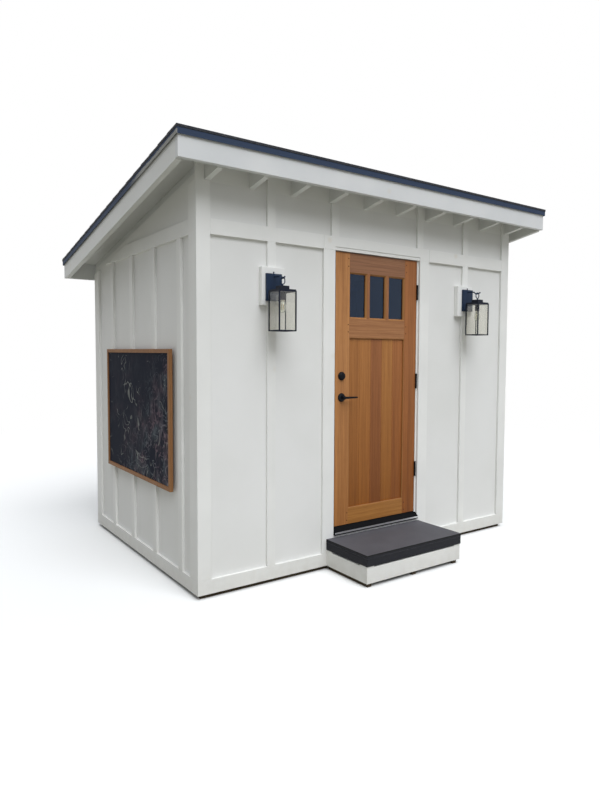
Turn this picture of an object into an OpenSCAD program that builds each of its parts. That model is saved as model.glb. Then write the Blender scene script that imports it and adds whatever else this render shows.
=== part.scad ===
// Garden office pod: a small timber room with board-and-batten walls, a single-slope roof,
// a half-glazed plank door, two wall lanterns, a chalkboard and an entrance step.
// Origin: on the ground under the middle of the walls. X runs along the front, to the right
// as seen from outside, Y runs from the front to the back, Z is up. Sizes are millimetres.

/* [Body] */
// Width over the trim boards of the side walls
body_w = 3055; // [2700:5:4000]
// Depth over the trim boards of the front and back walls
body_d = 2160; // [1900:5:2800]
// Height of the rafters' lower edge over the top of the door leaf, at the front trim face
head_room = 336; // [290:1:480]
// Slope of the roof, in degrees, falling to the back
roof_pitch = 10.1; // [6:0.1:12]
// Gap between the ground and the lowest cladding
ground_gap = 30; // [15:1:60]

/* [Walls] */
// Thickness of every trim board
trim_t = 19; // [16:1:25]
// Thickness of the flat siding sheets
siding_t = 11; // [8:1:16]
// Depth of the wall studs
stud_d = 89; // [64:1:140]
// Thickness of the lining inside
lining_t = 12; // [9:1:18]
// How far the siding runs up past the rafters' lower edge
siding_lip = 57; // [20:1:90]

/* [Trim boards] */
// Height of the skirt board round the foot of the walls
skirt_h = 95; // [80:1:140]
// Face width of the corner boards
corner_w = 97; // [70:1:120]
// Height of the belt board's lower edge over the top of the door leaf
belt_rise = 4; // [0:1:12]
// Height of the belt board
belt_h = 97; // [80:1:120]
// Width of a batten
batten_w = 65; // [50:1:90]
// First side batten, measured from the front trim face to its middle
side_batten_first = 278; // [200:1:400]
// Spacing of the side battens
side_batten_pitch = 466; // [380:1:500]
// Number of battens on each side wall
side_battens_n = 4; // [3:1:5]
// Number of battens on the back wall
back_battens_n = 6; // [4:1:8]
// Middle of the outer front battens and of the lanterns, from the door's middle
batten_spread = 965; // [800:5:1200]
// Open joint between two boards that meet
board_joint = 1; // [0.5:0.5:2]

/* [Floor] */
// Side of the square skids that the pod stands on
skid_s = 89; // [70:1:120]
// Height of the floor joists
joist_h = 140; // [90:1:185]
// Thickness of a joist
joist_t = 38; // [32:1:50]
// Largest spacing of the floor joists
joist_pitch = 305; // [250:1:340]
// Thickness of the floor boards
floor_t = 18; // [15:1:25]

/* [Roof] */
// Overhang in front, from the trim face to the outer face of the fascia
front_eave = 210; // [120:5:320]
// Overhang at the back, measured the same way
back_eave = 216; // [120:5:320]
// Overhang at each side, from the trim face to the outer face of the rake board
side_eave = 205; // [120:5:320]
// Thickness of the fascia and rake boards
fascia_t = 38; // [25:1:45]
// Height of the fascia boards
fascia_h = 140; // [110:1:185]
// Depth of a rafter
rafter_h = 140; // [120:1:185]
// Thickness of a rafter
rafter_w = 38; // [32:1:45]
// Number of rafters
rafters_n = 10; // [8:1:11]
// Face of the first rafter, measured from the left trim face
rafter_inset = 60; // [45:1:90]
// Thickness of the roof boards
roof_board_t = 18; // [12:1:24]
// Thickness of the shingles at the roof's edge
shingle_t = 22; // [12:1:30]
// Run of each shingle course down the slope
shingle_course = 143; // [120:1:200]
// Fall of one shingle over its own length
shingle_step = 4; // [2:0.5:6]
// Height of the drip edge's outer leg
drip_h = 34; // [20:1:60]
// Thickness of the drip edge
drip_t = 2; // [1:0.5:3]
// Distance from the fascia's face to the outer leg
drip_out = 9; // [4:1:15]

/* [Door] */
// Width of the door leaf
door_w = 816; // [720:1:920]
// Height of the door leaf
door_h = 2032; // [1960:1:2040]
// Thickness of the door leaf
door_t = 44; // [35:1:50]
// Height of the leaf's lower edge above the floor
sill_h = 58; // [40:1:80]
// Middle of the door, from the middle of the front wall
door_x = -15; // [-150:1:150]
// Gap round the leaf
door_gap = 5; // [5:0.5:7]
// Width of the side casings
casing_w = 103; // [80:1:120]
// Thickness of the jambs
jamb_t = 32; // [25:1:38]
// Strip of jamb that shows beside the leaf
jamb_show = 14; // [12:1:20]
// Strip of head jamb that shows over the leaf
head_show = 24; // [14:1:28]
// Width of the stiles
stile_w = 129; // [110:1:150]
// Height of the top rail
top_rail_h = 140; // [110:1:160]
// Height of the middle rail
mid_rail_h = 141; // [110:1:180]
// Height of the bottom rail
bottom_rail_h = 120; // [110:1:240]
// Height of the panes, over the moulding round them
lite_h = 342; // [260:1:400]
// Number of panes side by side
lites_n = 3; // [2:1:4]
// Width of the bars between the panes, without their mouldings
bar_w = 23; // [18:1:40]
// Width of the moulding round the panes
sticking_w = 11; // [6:1:14]
// Width of the moulding round the panel
panel_lip = 5; // [3:1:10]
// Number of boards in the panel
planks_n = 5; // [4:1:7]
// Thickness of the panel boards
plank_t = 18; // [12:1:24]
// Depth of the vee between two boards
plank_vee = 2; // [1:0.5:4]
// Thickness of the glass
glass_t = 5; // [3:1:8]

/* [Door fittings] */
// Distance from the leaf's edge to the lock's middle
lock_inset = 58; // [50:1:70]
// Height of the lever's middle above the leaf's lower edge
lever_z = 963; // [880:1:1050]
// Height of the deadbolt's middle above the leaf's lower edge
deadbolt_z = 1122; // [1060:1:1240]
// Length of the lever from its middle
lever_l = 118; // [90:1:140]
// Radius of the round lever rose
rose_r = 32; // [26:1:36]
// Height of a hinge
hinge_h = 114; // [89:1:127]
// Radius of a hinge's barrel
barrel_r = 7; // [6:0.5:8]
// Radius of a hinge pin
hinge_pin_r = 3.5; // [2.5:0.5:4]
// Running clearance round pins and necks
run_gap = 0.1; // [0.05:0.05:0.1]

/* [Step] */
// Width of the step
step_w = 932; // [860:1:1200]
// Depth of the step
step_d = 468; // [350:1:600]
// Height of the step's top above the ground
step_h = 230; // [200:1:240]
// Height of the dark cap, at its edge boards
cap_h = 80; // [60:1:100]
// Thickness of the cap's boards
cap_t = 24; // [20:1:30]
// Height of the vent slot between the cap and the base
slot_h = 9; // [4:1:15]
// Distance of the slot's ends from the base's corners
slot_end = 64; // [40:1:120]
// Middle of the step, from the middle of the front wall
step_x = -43; // [-150:1:150]

/* [Lanterns] */
// Width of a lantern's mounting block
block_w = 178; // [150:1:220]
// Height of a lantern's mounting block
block_h = 254; // [220:1:300]
// Distance from the belt board's lower edge down to the block
block_drop = 172; // [120:1:260]
// Thickness of a mounting block
block_t = 38; // [30:1:45]
// Width of the lantern's square cage
cage_w = 135; // [110:1:150]
// Height of the cage
cage_h = 265; // [200:1:300]
// Drop of the cage's top below the block's middle
cage_drop = 31; // [15:1:60]
// Thickness of the cage's square posts
cage_post = 8; // [8:1:16]
// Side of the square cap on the cage
cap_s = 65; // [50:1:90]
// Length of the lamp holder under the cage's top
holder_h = 60; // [40:1:80]
// Length of the bulb
bulb_l = 84; // [60:1:120]
// Radius of the bulb
bulb_r = 24; // [18:1:32]
// Distance from the block's face to the cage's middle
lantern_reach = 118; // [100:1:150]

/* [Chalkboard] */
// Width of the chalkboard's frame
board_w = 1356; // [900:1:1500]
// Height of the chalkboard's frame
board_h = 978; // [600:1:1200]
// Middle of the chalkboard, from the front trim face
board_y = 1066; // [900:1:1200]
// Height of the frame's lower edge above the ground
board_z = 640; // [500:1:900]
// Face width of the frame
board_frame_w = 28; // [18:1:60]
// Depth of the frame
board_frame_d = 26; // [18:1:40]

/* [Hidden] */
$fn = 48;

// Outer trim faces
xl = -body_w / 2;
xr = body_w / 2;
yf = -body_d / 2;
yb = body_d / 2;
// Depths behind the trim face, from outside to inside
siding_in = trim_t + siding_t;
stud_in = siding_in + stud_d;
wall_in = stud_in + lining_t;
// Heights of the floor
joist_z = skid_s;
floor_z = joist_z + joist_h;
floor_top = floor_z + floor_t;
skirt_top = ground_gap + skirt_h;
door_z = floor_top + sill_h;
leaf_top = door_z + door_h;
belt_z = leaf_top + belt_rise;
belt_top = belt_z + belt_h;
eave_h = leaf_top + head_room;
// Roof slope: heights at a depth y of the rafters' lower and upper edge, the roof boards and
// the shingles. A thin lay gap keeps sloping faces that lie on each other apart.
lay_gap = 0.1;
fall = tan(roof_pitch);
function thick(t) = t / cos(roof_pitch);
function under(y) = eave_h - (y - yf) * fall;
function over(y) = under(y) + thick(rafter_h);
function board_top(y) = over(y) + lay_gap + thick(roof_board_t);
// Outer faces of the roof's edge boards
roof_yf = yf - front_eave;
roof_yb = yb + back_eave;
roof_xl = xl - side_eave;
roof_xr = xr + side_eave;
// Rafters: the last one stays inside the siding on the right
rafter_last = body_w - siding_in - 2 - rafter_w;
rafter_pitch = (rafter_last - rafter_inset) / (rafters_n - 1);
rafter_xs = [for (i = [0:rafters_n - 1]) xl + rafter_inset + i * rafter_pitch];
rafter_clear = 1;

// Door: leaf, opening between the casings and opening in the wall
leaf_x0 = door_x - door_w / 2;
leaf_x1 = door_x + door_w / 2;
leaf_y0 = yf + trim_t;
leaf_y1 = leaf_y0 + door_t;
jamb_x0 = leaf_x0 - door_gap;
jamb_x1 = leaf_x1 + door_gap;
casing_x0 = jamb_x0 - jamb_show;
casing_x1 = jamb_x1 + jamb_show;
rough_x0 = jamb_x0 - jamb_t;
rough_x1 = jamb_x1 + jamb_t;
head_z = leaf_top + door_gap;
rough_z = head_z + jamb_t;
belt_notch_z = head_z + head_show;
stop_t = 12;
stop_d = 32;
latch_bevel = 2.5;

// Hinge axis: in the gap beside the leaf, in front of its face
hinge_x = leaf_x1 + door_gap / 2;
hinge_y = leaf_y0 - barrel_r;
hinge_zs = [352, 1070, 1783];
knuckles_n = 5;
knuckle_gap = 0.5;
hinge_plate_t = 2.2;
hinge_plate_d = 36;

// Panes and panel of the leaf
panel_z0 = bottom_rail_h;
panel_z1 = door_h - top_rail_h - lite_h - mid_rail_h;
lite_z0 = panel_z1 + mid_rail_h;
lite_z1 = door_h - top_rail_h;
field_w = door_w - 2 * stile_w;
lite_w = (field_w - (lites_n - 1) * bar_w) / lites_n;
lite_xs = [for (i = [0:lites_n - 1]) leaf_x0 + stile_w + i * (lite_w + bar_w)];

// Battens in front: one each side of the door, which carry the lanterns, and two over the casings
lantern_xs = [door_x - batten_spread, door_x + batten_spread];
front_battens = [lantern_xs[0], casing_x0, casing_x1, lantern_xs[1]];
front_top = over(yf + trim_t) - board_joint;

// A profile in Y and Z, drawn out along X from x0 to x1
module along_x(x0, x1)
    translate([x0, 0, 0])
        rotate([90, 0, 90])
            linear_extrude(x1 - x0)
                children();

// A box between two corners
module block(low, high)
    translate(low)
        cube(high - low);

// A piece and its mirror image on the right-hand side
module both_sides() {
    children();
    mirror([1, 0, 0])
        children();
}

// The space of every rafter, wider by a clearance, for cutting boards round them
module rafter_slots()
    for (x = rafter_xs)
        along_x(x - rafter_clear, x + rafter_w + rafter_clear)
            polygon([[roof_yf, under(roof_yf) - rafter_clear], [roof_yb, under(roof_yb) - rafter_clear],
                [roof_yb, 2 * eave_h], [roof_yf, 2 * eave_h]]);

// An upright plate between x0 and x1 and y0 and y1, cut along the roof's slope at its top,
// which ends higher than the rafters' lower edge by lift
module sloped_plate(x0, x1, y0, y1, z, lift)
    along_x(x0, x1)
        polygon([[y0, z], [y1, z], [y1, under(y1) + lift], [y0, under(y0) + lift]]);

// A side board that stops at the height top or under the slope, whichever is lower
module side_board(y0, y1, z, top)
    intersection() {
        sloped_plate(xl, xl + trim_t, y0, y1, 0, 0);
        block([xl - 1, y0 - 1, z], [xl + trim_t + 1, y1 + 1, top]);
    }

module skids()
    color("#4a4034")
        for (y = [yf + siding_in, -skid_s / 2, yb - siding_in - skid_s])
            block([xl + siding_in, y, 0], [xr - siding_in, y + skid_s, skid_s]);

// Joists run from front to back between the two rim joists
module floor_joists() {
    x0 = xl + siding_in;
    run = body_w - 2 * siding_in - joist_t;
    bays = ceil(run / joist_pitch);
    color("#c9ab7c")
        for (i = [0:bays])
            translate([x0 + i * run / bays, 0, 0])
                block([0, yf + siding_in + joist_t, joist_z], [joist_t, yb - siding_in - joist_t, floor_z]);
}

module rim_joists()
    color("#c9ab7c")
        for (y = [yf + siding_in, yb - siding_in - joist_t])
            block([xl + siding_in, y, joist_z], [xr - siding_in, y + joist_t, floor_z]);

module floor_boards()
    color("#b99a6b")
        block([xl + siding_in, yf + siding_in, floor_z], [xr - siding_in, yb - siding_in, floor_top]);

// Studs and lining in one thickness, standing on the floor with the plate cut to the roof's slope
module front_wall()
    color("#dccdb0") {
        sloped_plate(xl + siding_in, rough_x0, yf + siding_in, yf + wall_in, floor_top, -lay_gap);
        sloped_plate(rough_x1, xr - siding_in, yf + siding_in, yf + wall_in, floor_top, -lay_gap);
    }

module front_wall_head()
    color("#dccdb0")
        sloped_plate(rough_x0, rough_x1, yf + siding_in, yf + wall_in, rough_z, -lay_gap);

module back_wall()
    color("#dccdb0")
        sloped_plate(xl + siding_in, xr - siding_in, yb - wall_in, yb - siding_in, floor_top, -lay_gap);

module side_walls()
    color("#dccdb0")
        both_sides()
            sloped_plate(xl + siding_in, xl + wall_in, yf + wall_in, yb - wall_in, floor_top, -lay_gap);

// Siding sheets lap over the floor frame down to the skirt boards
siding_foot = ground_gap + 4;
module front_siding()
    color("#f2f2ee") {
        sloped_plate(xl + siding_in, rough_x0, yf + trim_t, yf + siding_in, siding_foot, -lay_gap);
        sloped_plate(rough_x1, xr - siding_in, yf + trim_t, yf + siding_in, siding_foot, -lay_gap);
    }

module door_bay_siding()
    color("#f2f2ee") {
        sloped_plate(rough_x0, rough_x1, yf + trim_t, yf + siding_in, rough_z, -lay_gap);
        block([rough_x0, yf + trim_t, siding_foot], [rough_x1, yf + siding_in, floor_top]);
    }

// The side sheets run up past the rafters' lower edge
module side_siding()
    color("#f2f2ee")
        both_sides()
            sloped_plate(xl + trim_t, xl + siding_in, yf + trim_t, yb - trim_t, siding_foot, siding_lip);

module back_siding()
    color("#f2f2ee")
        sloped_plate(xl + siding_in, xr - siding_in, yb - siding_in, yb - trim_t, siding_foot, -lay_gap);

// Front and back boards run through at the corners, and the side boards butt behind them
module skirt_boards()
    color("#f6f6f3") {
        for (y = [yf, yb - trim_t])
            block([xl, y, ground_gap], [xr, y + trim_t, skirt_top]);
        both_sides()
            block([xl, yf + trim_t + board_joint, ground_gap],
                [xl + trim_t, yb - trim_t - board_joint, skirt_top]);
    }

module corner_boards() {
    side_y0 = yf + trim_t + board_joint;
    side_y1 = yb - trim_t - board_joint;
    color("#f6f6f3") {
        difference() {
            both_sides()
                block([xl, yf, skirt_top], [xl + corner_w, yf + trim_t, front_top]);
            rafter_slots();
        }
        both_sides() {
            sloped_plate(xl, xl + corner_w, yb - trim_t, yb, skirt_top, -rafter_clear);
            side_board(side_y0, side_y0 + corner_w, skirt_top, front_top);
            side_board(side_y1 - corner_w, side_y1, skirt_top, front_top);
        }
    }
}

// The piece over the door is cut up round the head jamb
module belt_boards() {
    ends = [xl + corner_w, casing_x0 - casing_w, casing_x1 + casing_w, xr - corner_w];
    side_y0 = yf + trim_t + corner_w + 2 * board_joint;
    side_y1 = yb - trim_t - corner_w - 2 * board_joint;
    half = board_joint / 2;
    color("#f6f6f3") {
        difference() {
            for (i = [0:2])
                block([ends[i] + half, yf, belt_z], [ends[i + 1] - half, yf + trim_t, belt_top]);
            block([casing_x0, yf - 1, belt_z - 1], [casing_x1, yf + trim_t + 1, belt_notch_z]);
        }
        both_sides()
            side_board(side_y0, side_y1, belt_z, belt_top);
    }
}

module battens() {
    inner = body_w - 2 * corner_w;
    color("#f6f6f3") {
        for (x = lantern_xs)
            block([x - batten_w / 2, yf, skirt_top], [x + batten_w / 2, yf + trim_t, belt_z]);
        difference() {
            for (x = front_battens)
                block([x - batten_w / 2, yf, belt_top], [x + batten_w / 2, yf + trim_t, front_top]);
            rafter_slots();
        }
        both_sides()
            for (i = [0:side_battens_n - 1]) {
                y = yf + side_batten_first + i * side_batten_pitch;
                side_board(y - batten_w / 2, y + batten_w / 2, skirt_top, belt_z);
            }
        for (i = [1:back_battens_n]) {
            x = xl + corner_w + i * inner / (back_battens_n + 1);
            sloped_plate(x - batten_w / 2, x + batten_w / 2, yb - trim_t, yb, skirt_top, -rafter_clear);
        }
    }
}

// The casings stand on the skirt, with a board between them under the sill
module door_casings()
    color("#f6f6f3") {
        block([casing_x0 - casing_w, yf, skirt_top], [casing_x0, yf + trim_t, belt_z]);
        block([casing_x1, yf, skirt_top], [casing_x1 + casing_w, yf + trim_t, belt_z]);
        block([casing_x0 + board_joint, yf, skirt_top],
            [casing_x1 - board_joint, yf + trim_t, floor_top]);
    }

// Each jamb carries the stop that the leaf closes against
stop_y = leaf_y1 + door_gap;
module door_jambs()
    color("#f2f2ee") {
        block([rough_x0, yf + trim_t, floor_top], [jamb_x0, yf + wall_in, head_z]);
        block([jamb_x1, yf + trim_t, floor_top], [rough_x1, yf + wall_in, head_z]);
        block([jamb_x0 - 1, stop_y, door_z], [jamb_x0 + stop_t, stop_y + stop_d, head_z - stop_t]);
        block([jamb_x1 - stop_t, stop_y, door_z], [jamb_x1 + 1, stop_y + stop_d, head_z - stop_t]);
    }

module door_head()
    color("#f2f2ee") {
        block([rough_x0, yf + trim_t, head_z], [rough_x1, yf + wall_in, rough_z]);
        block([jamb_x0, stop_y, head_z - stop_t], [jamb_x1, stop_y + stop_d, head_z + 1]);
    }

// Dark sill that slopes up to the leaf, with a bright strip along its nose
nose_d = 20;
nose_t = 3;
strip_z0 = floor_top + 9;
strip_z1 = floor_top + 21;
module threshold() {
    top = door_z - door_gap;
    y0 = yf + trim_t;
    nose_y = yf - nose_d + nose_t;
    color("#2b2b2d") {
        along_x(jamb_x0, jamb_x1)
            polygon([[y0, floor_top], [yf + wall_in, floor_top], [yf + wall_in, floor_top + 12],
                [leaf_y1 + 12, top], [y0 + 4, top], [y0, top - 4]]);
        along_x(casing_x0, casing_x1)
            polygon([[nose_y, floor_top], [y0, floor_top], [y0, top - 4], [nose_y, strip_z1]]);
    }
}

module sill_nose() {
    nose_y = yf - nose_d + nose_t;
    color("#c4c6c8")
        block([casing_x0 + board_joint, nose_y - nose_t, strip_z0], [casing_x1 - board_joint, nose_y, strip_z1]);
}

// The section of a rafter or rake board, from one fascia board to the other
module rafter_board(x, w) {
    y0 = roof_yf + fascia_t;
    y1 = roof_yb - fascia_t;
    along_x(x, x + w)
        polygon([[y0, under(y0)], [y1, under(y1)], [y1, over(y1)], [y0, over(y0)]]);
}

module rafters()
    color("#eeeeea")
        for (x = rafter_xs)
            rafter_board(x, rafter_w);

// Blocks between the rafters close the wall over its plate, with a vent gap at the top
module frieze_blocks() {
    vent = 20;
    block_d = 38;
    color("#f2f2ee")
        for (i = [0:rafters_n - 2], y0 = [yf + trim_t, yb - trim_t - block_d])
            along_x(rafter_xs[i] + rafter_w, rafter_xs[i + 1])
                polygon([[y0, under(y0)], [y0 + block_d, under(y0 + block_d)],
                    [y0 + block_d, over(y0 + block_d) - vent], [y0, over(y0) - vent]]);
}

module roof_boards()
    color("#eeeeea")
        along_x(roof_xl, roof_xr)
            polygon([[roof_yf, over(roof_yf) + lay_gap], [roof_yb, over(roof_yb) + lay_gap],
                [roof_yb, board_top(roof_yb)], [roof_yf, board_top(roof_yf)]]);

// Overlapping courses make a saw-tooth profile down the slope
module shingles() {
    edge = drip_out + drip_t + 3;
    y0 = roof_yf - edge;
    y1 = roof_yb + edge;
    run = y1 - y0;
    n = round(run / shingle_course);
    low = lay_gap;
    top = [for (i = [0:n - 1], end = [0, 1])
        let (y = y0 + (i + end) * run / n)
            [y, board_top(y) + thick(shingle_t) - (end == 0 ? shingle_step : 0)]];
    color("#2c2e33")
        difference() {
            along_x(roof_xl - edge, roof_xr + edge)
                polygon(concat([[y1, board_top(y1) + low]], [[y0, board_top(y0) + low]], top));
            drip_legs(lay_gap);
        }
}

// Flat legs of the drip edge, which lie on the roof boards under the shingles
drip_leg = 50;
module drip_legs(grow) {
    o = drip_out + drip_t + grow;
    y0 = roof_yf - o;
    y1 = roof_yb + o;
    inner = drip_leg + grow;
    difference() {
        along_x(roof_xl - o, roof_xr + o)
            polygon([[y0, board_top(y0) + lay_gap - grow], [y1, board_top(y1) + lay_gap - grow],
                [y1, board_top(y1) + lay_gap + drip_t + grow], [y0, board_top(y0) + lay_gap + drip_t + grow]]);
        block([roof_xl + inner, roof_yf + inner, 0], [roof_xr - inner, roof_yb - inner, 2 * eave_h]);
    }
}

module drip_ring() {
    o = drip_out + drip_t;
    y0 = roof_yf - o;
    y1 = roof_yb + o;
    top = lay_gap + 0.01;
    color("#25272b") {
        drip_legs(0);
        difference() {
            along_x(roof_xl - o, roof_xr + o)
                polygon([[y0, board_top(y0) - drip_h], [y1, board_top(y1) - drip_h],
                    [y1, board_top(y1) + top], [y0, board_top(y0) + top]]);
            block([roof_xl - drip_out, roof_yf - drip_out, 0], [roof_xr + drip_out, roof_yb + drip_out, 2 * eave_h]);
        }
    }
}

// Four lengths of drip edge that meet in mitres
module drip_edge()
    difference() {
        drip_ring();
        for (side = [0, 1], end = [0, 1])
            translate([side == 0 ? roof_xl : roof_xr, end == 0 ? roof_yf : roof_yb, 0])
                rotate(side == end ? 45 : -45)
                    block([-2 * drip_leg, -board_joint / 2, 0], [2 * drip_leg, board_joint / 2, 2 * eave_h]);
    }

// Boards on the rafters' ends: their tops follow the slope
module fascia_boards()
    color("#f6f6f3")
        for (y = [roof_yf, roof_yb - fascia_t])
            along_x(roof_xl, roof_xr)
                polygon([[y, over(y) - fascia_h], [y + fascia_t, over(y) - fascia_h],
                    [y + fascia_t, over(y + fascia_t)], [y, over(y)]]);

module rake_boards()
    color("#f6f6f3")
        both_sides()
            rafter_board(roof_xl, fascia_t);

// Runners on the ground carry the step: the base boards are set in under the cap's edge boards,
// so that the inner faces of both lie on the outer runners
runner_t = 38;
base_in = cap_t - trim_t;
step_x0 = step_x - step_w / 2;
step_x1 = step_x + step_w / 2;
step_y0 = yf - step_d;
base_top = step_h - cap_h;
module step_frame()
    color("#4a4034")
        for (x = [step_x0 + base_in + trim_t, step_x - runner_t / 2, step_x1 - base_in - trim_t - runner_t])
            block([x, step_y0 + base_in + trim_t, 0], [x + runner_t, yf, step_h - cap_t]);

// White boards round the runners, with a vent slot cut in their upper edges
module step_base() {
    x0 = step_x0 + base_in;
    x1 = step_x1 - base_in;
    y0 = step_y0 + base_in;
    color("#f6f6f3")
        difference() {
            union() {
                block([x0, y0, ground_gap], [x1, y0 + trim_t, base_top]);
                for (x = [x0, x1 - trim_t])
                    block([x, y0 + trim_t + board_joint, ground_gap], [x + trim_t, yf, base_top]);
            }
            block([x0 + slot_end, y0 - 1, base_top - slot_h], [x1 - slot_end, y0 + trim_t + 1, base_top + 1]);
            for (x = [x0 - 1, x1 - trim_t - 1])
                block([x, y0 + trim_t + slot_end, base_top - slot_h], [x + trim_t + 2, yf - slot_end, base_top + 1]);
        }
}

// Dark tread with edge boards that meet in mitres at the front corners
module step_cap() {
    x0 = step_x0;
    x1 = step_x1;
    y0 = step_y0;
    t = cap_t;
    half = board_joint / 2;
    color("#4b4c52") {
        block([x0, y0, step_h - t], [x1, yf, step_h]);
        translate([0, 0, base_top])
            linear_extrude(cap_h - t - half) {
                polygon([[x0 + half, y0], [x1 - half, y0], [x1 - half - t, y0 + t], [x0 + half + t, y0 + t]]);
                polygon([[x0, y0 + half], [x0 + t, y0 + t + half], [x0 + t, yf], [x0, yf]]);
                polygon([[x1, y0 + half], [x1, yf], [x1 - t, yf], [x1 - t, y0 + t + half]]);
            }
    }
}

// Lanterns: everything is placed from the block's face. The left one hangs a little lower on its
// block than the right one, and the right block sits to the left of its lantern.
lantern_y = yf - block_t + trim_t;
block_z = belt_z - block_drop - block_h / 2;
lantern_lifts = [-8, 8];
block_shifts = [0, -22];
module each_lantern()
    for (i = [0, 1])
        translate([lantern_xs[i], lantern_y, block_z + lantern_lifts[i]])
            children();

module lantern_blocks()
    color("#f6f6f3")
        difference() {
            for (i = [0, 1])
                translate([lantern_xs[i] + block_shifts[i], lantern_y, block_z])
                    block([-block_w / 2, 0, -block_h / 2], [block_w / 2, block_t, block_h / 2]);
            for (x = lantern_xs)
                block([x - batten_w / 2, yf, 0], [x + batten_w / 2, yf + trim_t, belt_z]);
        }

plate_w = 120;
plate_h = 182;
plate_t = 16;
arm_r = 5;
arm_z = 51;
link_r = 3.5;
link_w = 35;
link_z0 = 13;
link_z1 = arm_z + arm_r + link_r - 0.5;
lid_h = 8;
cap_z = 1;

// A round rod between two points in the plane of Y and Z
module rod(p, q, r)
    translate([0, p[0], p[1]])
        rotate([atan2(q[0] - p[0], q[1] - p[1]) * -1, 0, 0])
            cylinder(r = r, h = norm(q - p));

// Wall plate with a knob on top, and a crook that holds the cage's hanging link
module lantern_brackets() {
    $fn = 24;
    bends = [[-plate_t + 1, arm_z + 20], [-lantern_reach + 38, arm_z + 17], [-lantern_reach + 16, arm_z],
        [-lantern_reach - 8, arm_z + 0.6], [-lantern_reach - 26, arm_z + 8]];
    bow = link_w / 2;
    color("#1b1b1c")
        each_lantern() {
            block([-plate_w / 2, -plate_t, -plate_h / 2], [plate_w / 2, 0, plate_h / 2]);
            translate([0, -plate_t / 2, plate_h / 2 - 1])
                cylinder(r = 3, h = 8);
            translate([0, -plate_t / 2, plate_h / 2 + 9])
                sphere(r = 5);
            for (i = [0:3]) {
                rod(bends[i], bends[i + 1], arm_r);
                translate([0, bends[i + 1][0], bends[i + 1][1]])
                    sphere(r = arm_r + 0.5);
            }
            translate([0, -lantern_reach, 0]) {
                for (x = [-bow, bow])
                    translate([x, 0, link_z0 + bow])
                        cylinder(r = link_r, h = link_z1 - link_z0 - link_w);
                for (end = [[link_z1 - bow, 0], [link_z0 + bow, -2 * bow]])
                    translate([0, 0, end[0]])
                        intersection() {
                            rotate([90, 0, 0])
                                rotate_extrude()
                                    translate([bow, 0])
                                        circle(r = link_r);
                            block([-2 * bow, -bow, end[1]], [2 * bow, bow, end[1] + 2 * bow]);
                        }
                translate([0, 0, cap_z])
                    cylinder(r = 5, h = link_z0 - cap_z);
            }
        }
}

// Square cage with a low lid, a cap and the lamp holder
module lantern_cages() {
    top = -cage_drop;
    low = top - cage_h;
    half = cage_w / 2;
    p = cage_post;
    color("#1b1b1c")
        each_lantern()
            translate([0, -lantern_reach, 0]) {
                block([-cap_s / 2, -cap_s / 2, top], [cap_s / 2, cap_s / 2, cap_z]);
                block([-half + 3, -half + 3, top - 0.01], [half - 3, half - 3, top + lid_h]);
                block([-half, -half, top - p], [half, half, top]);
                for (x = [-half, half - p], y = [-half, half - p])
                    block([x, y, low], [x + p, y + p, top]);
                difference() {
                    block([-half, -half, low], [half, half, low + p]);
                    block([-half + p, -half + p, low - 1], [half - p, half - p, low + p + 1]);
                }
                translate([0, 0, top - holder_h])
                    cylinder(r = 17, h = holder_h);
            }
}

module lantern_glass() {
    low = -cage_drop - cage_h + cage_post;
    color("#dfe8ea")
        each_lantern()
            translate([0, -lantern_reach, 0])
                for (a = [0:90:270])
                    rotate(a)
                        block([-cage_w / 2 + cage_post, cage_w / 2 - 7, low],
                            [cage_w / 2 - cage_post, cage_w / 2 - 4, -cage_drop - cage_post]);
}

// Clear pear-shaped bulb, turned from a profile of shares of its radius and length
module lantern_bulbs() {
    profile = [[0, 0], [0.54, 0], [0.58, 0.12], [0.83, 0.33], [1, 0.57], [0.92, 0.76], [0.63, 0.9], [0.29, 0.98],
        [0, 1]];
    color("#f4efe0")
        each_lantern()
            translate([0, -lantern_reach, -cage_drop - holder_h])
                rotate_extrude()
                    polygon([for (p = profile) [p[0] * bulb_r, -p[1] * bulb_l]]);
}

// The frame lies on the faces of the side battens, its four pieces mitred at the corners
board_y0 = yf + board_y - board_w / 2;
board_y1 = board_y0 + board_w;
board_z1 = board_z + board_h;
module chalkboard_frame() {
    f = board_frame_w;
    half = board_joint / 4;
    color("#a9794a")
        translate([xl - board_frame_d, 0, 0])
            rotate([90, 0, 90])
                linear_extrude(board_frame_d) {
                    for (z = [[board_z, 1], [board_z1, -1]])
                        polygon([[board_y0 + half, z[0]], [board_y1 - half, z[0]],
                            [board_y1 - f - half, z[0] + z[1] * f], [board_y0 + f + half, z[0] + z[1] * f]]);
                    for (y = [[board_y0, 1], [board_y1, -1]])
                        polygon([[y[0], board_z + half], [y[0], board_z1 - half],
                            [y[0] + y[1] * f, board_z1 - f - half], [y[0] + y[1] * f, board_z + f + half]]);
                }
}

board_recess = 9;
module chalkboard_panel()
    color("#2a2d2e")
        block([xl - board_frame_d + board_recess, board_y0 + board_frame_w, board_z + board_frame_w],
            [xl, board_y1 - board_frame_w, board_z1 - board_frame_w]);

// Knuckles and plate of one hinge leaf: side is 1 for the jamb and -1 for the door
module hinge_leaf(z, side) {
    knuckle = hinge_h / knuckles_n;
    first = side > 0 ? 0 : 1;
    near = side > 0 ? door_gap / 2 - hinge_plate_t : -door_gap / 2;
    translate([hinge_x, hinge_y, door_z + z - hinge_h / 2]) {
        block([near, barrel_r + 0.4, 0], [near + hinge_plate_t, barrel_r + hinge_plate_d, hinge_h]);
        for (i = [first:2:knuckles_n - 1])
            translate([0, 0, i * knuckle + knuckle_gap / 2]) {
                cylinder(r = barrel_r, h = knuckle - knuckle_gap);
                block([near, 0, 0], [near + hinge_plate_t, barrel_r + 1, knuckle - knuckle_gap]);
            }
    }
}

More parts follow.
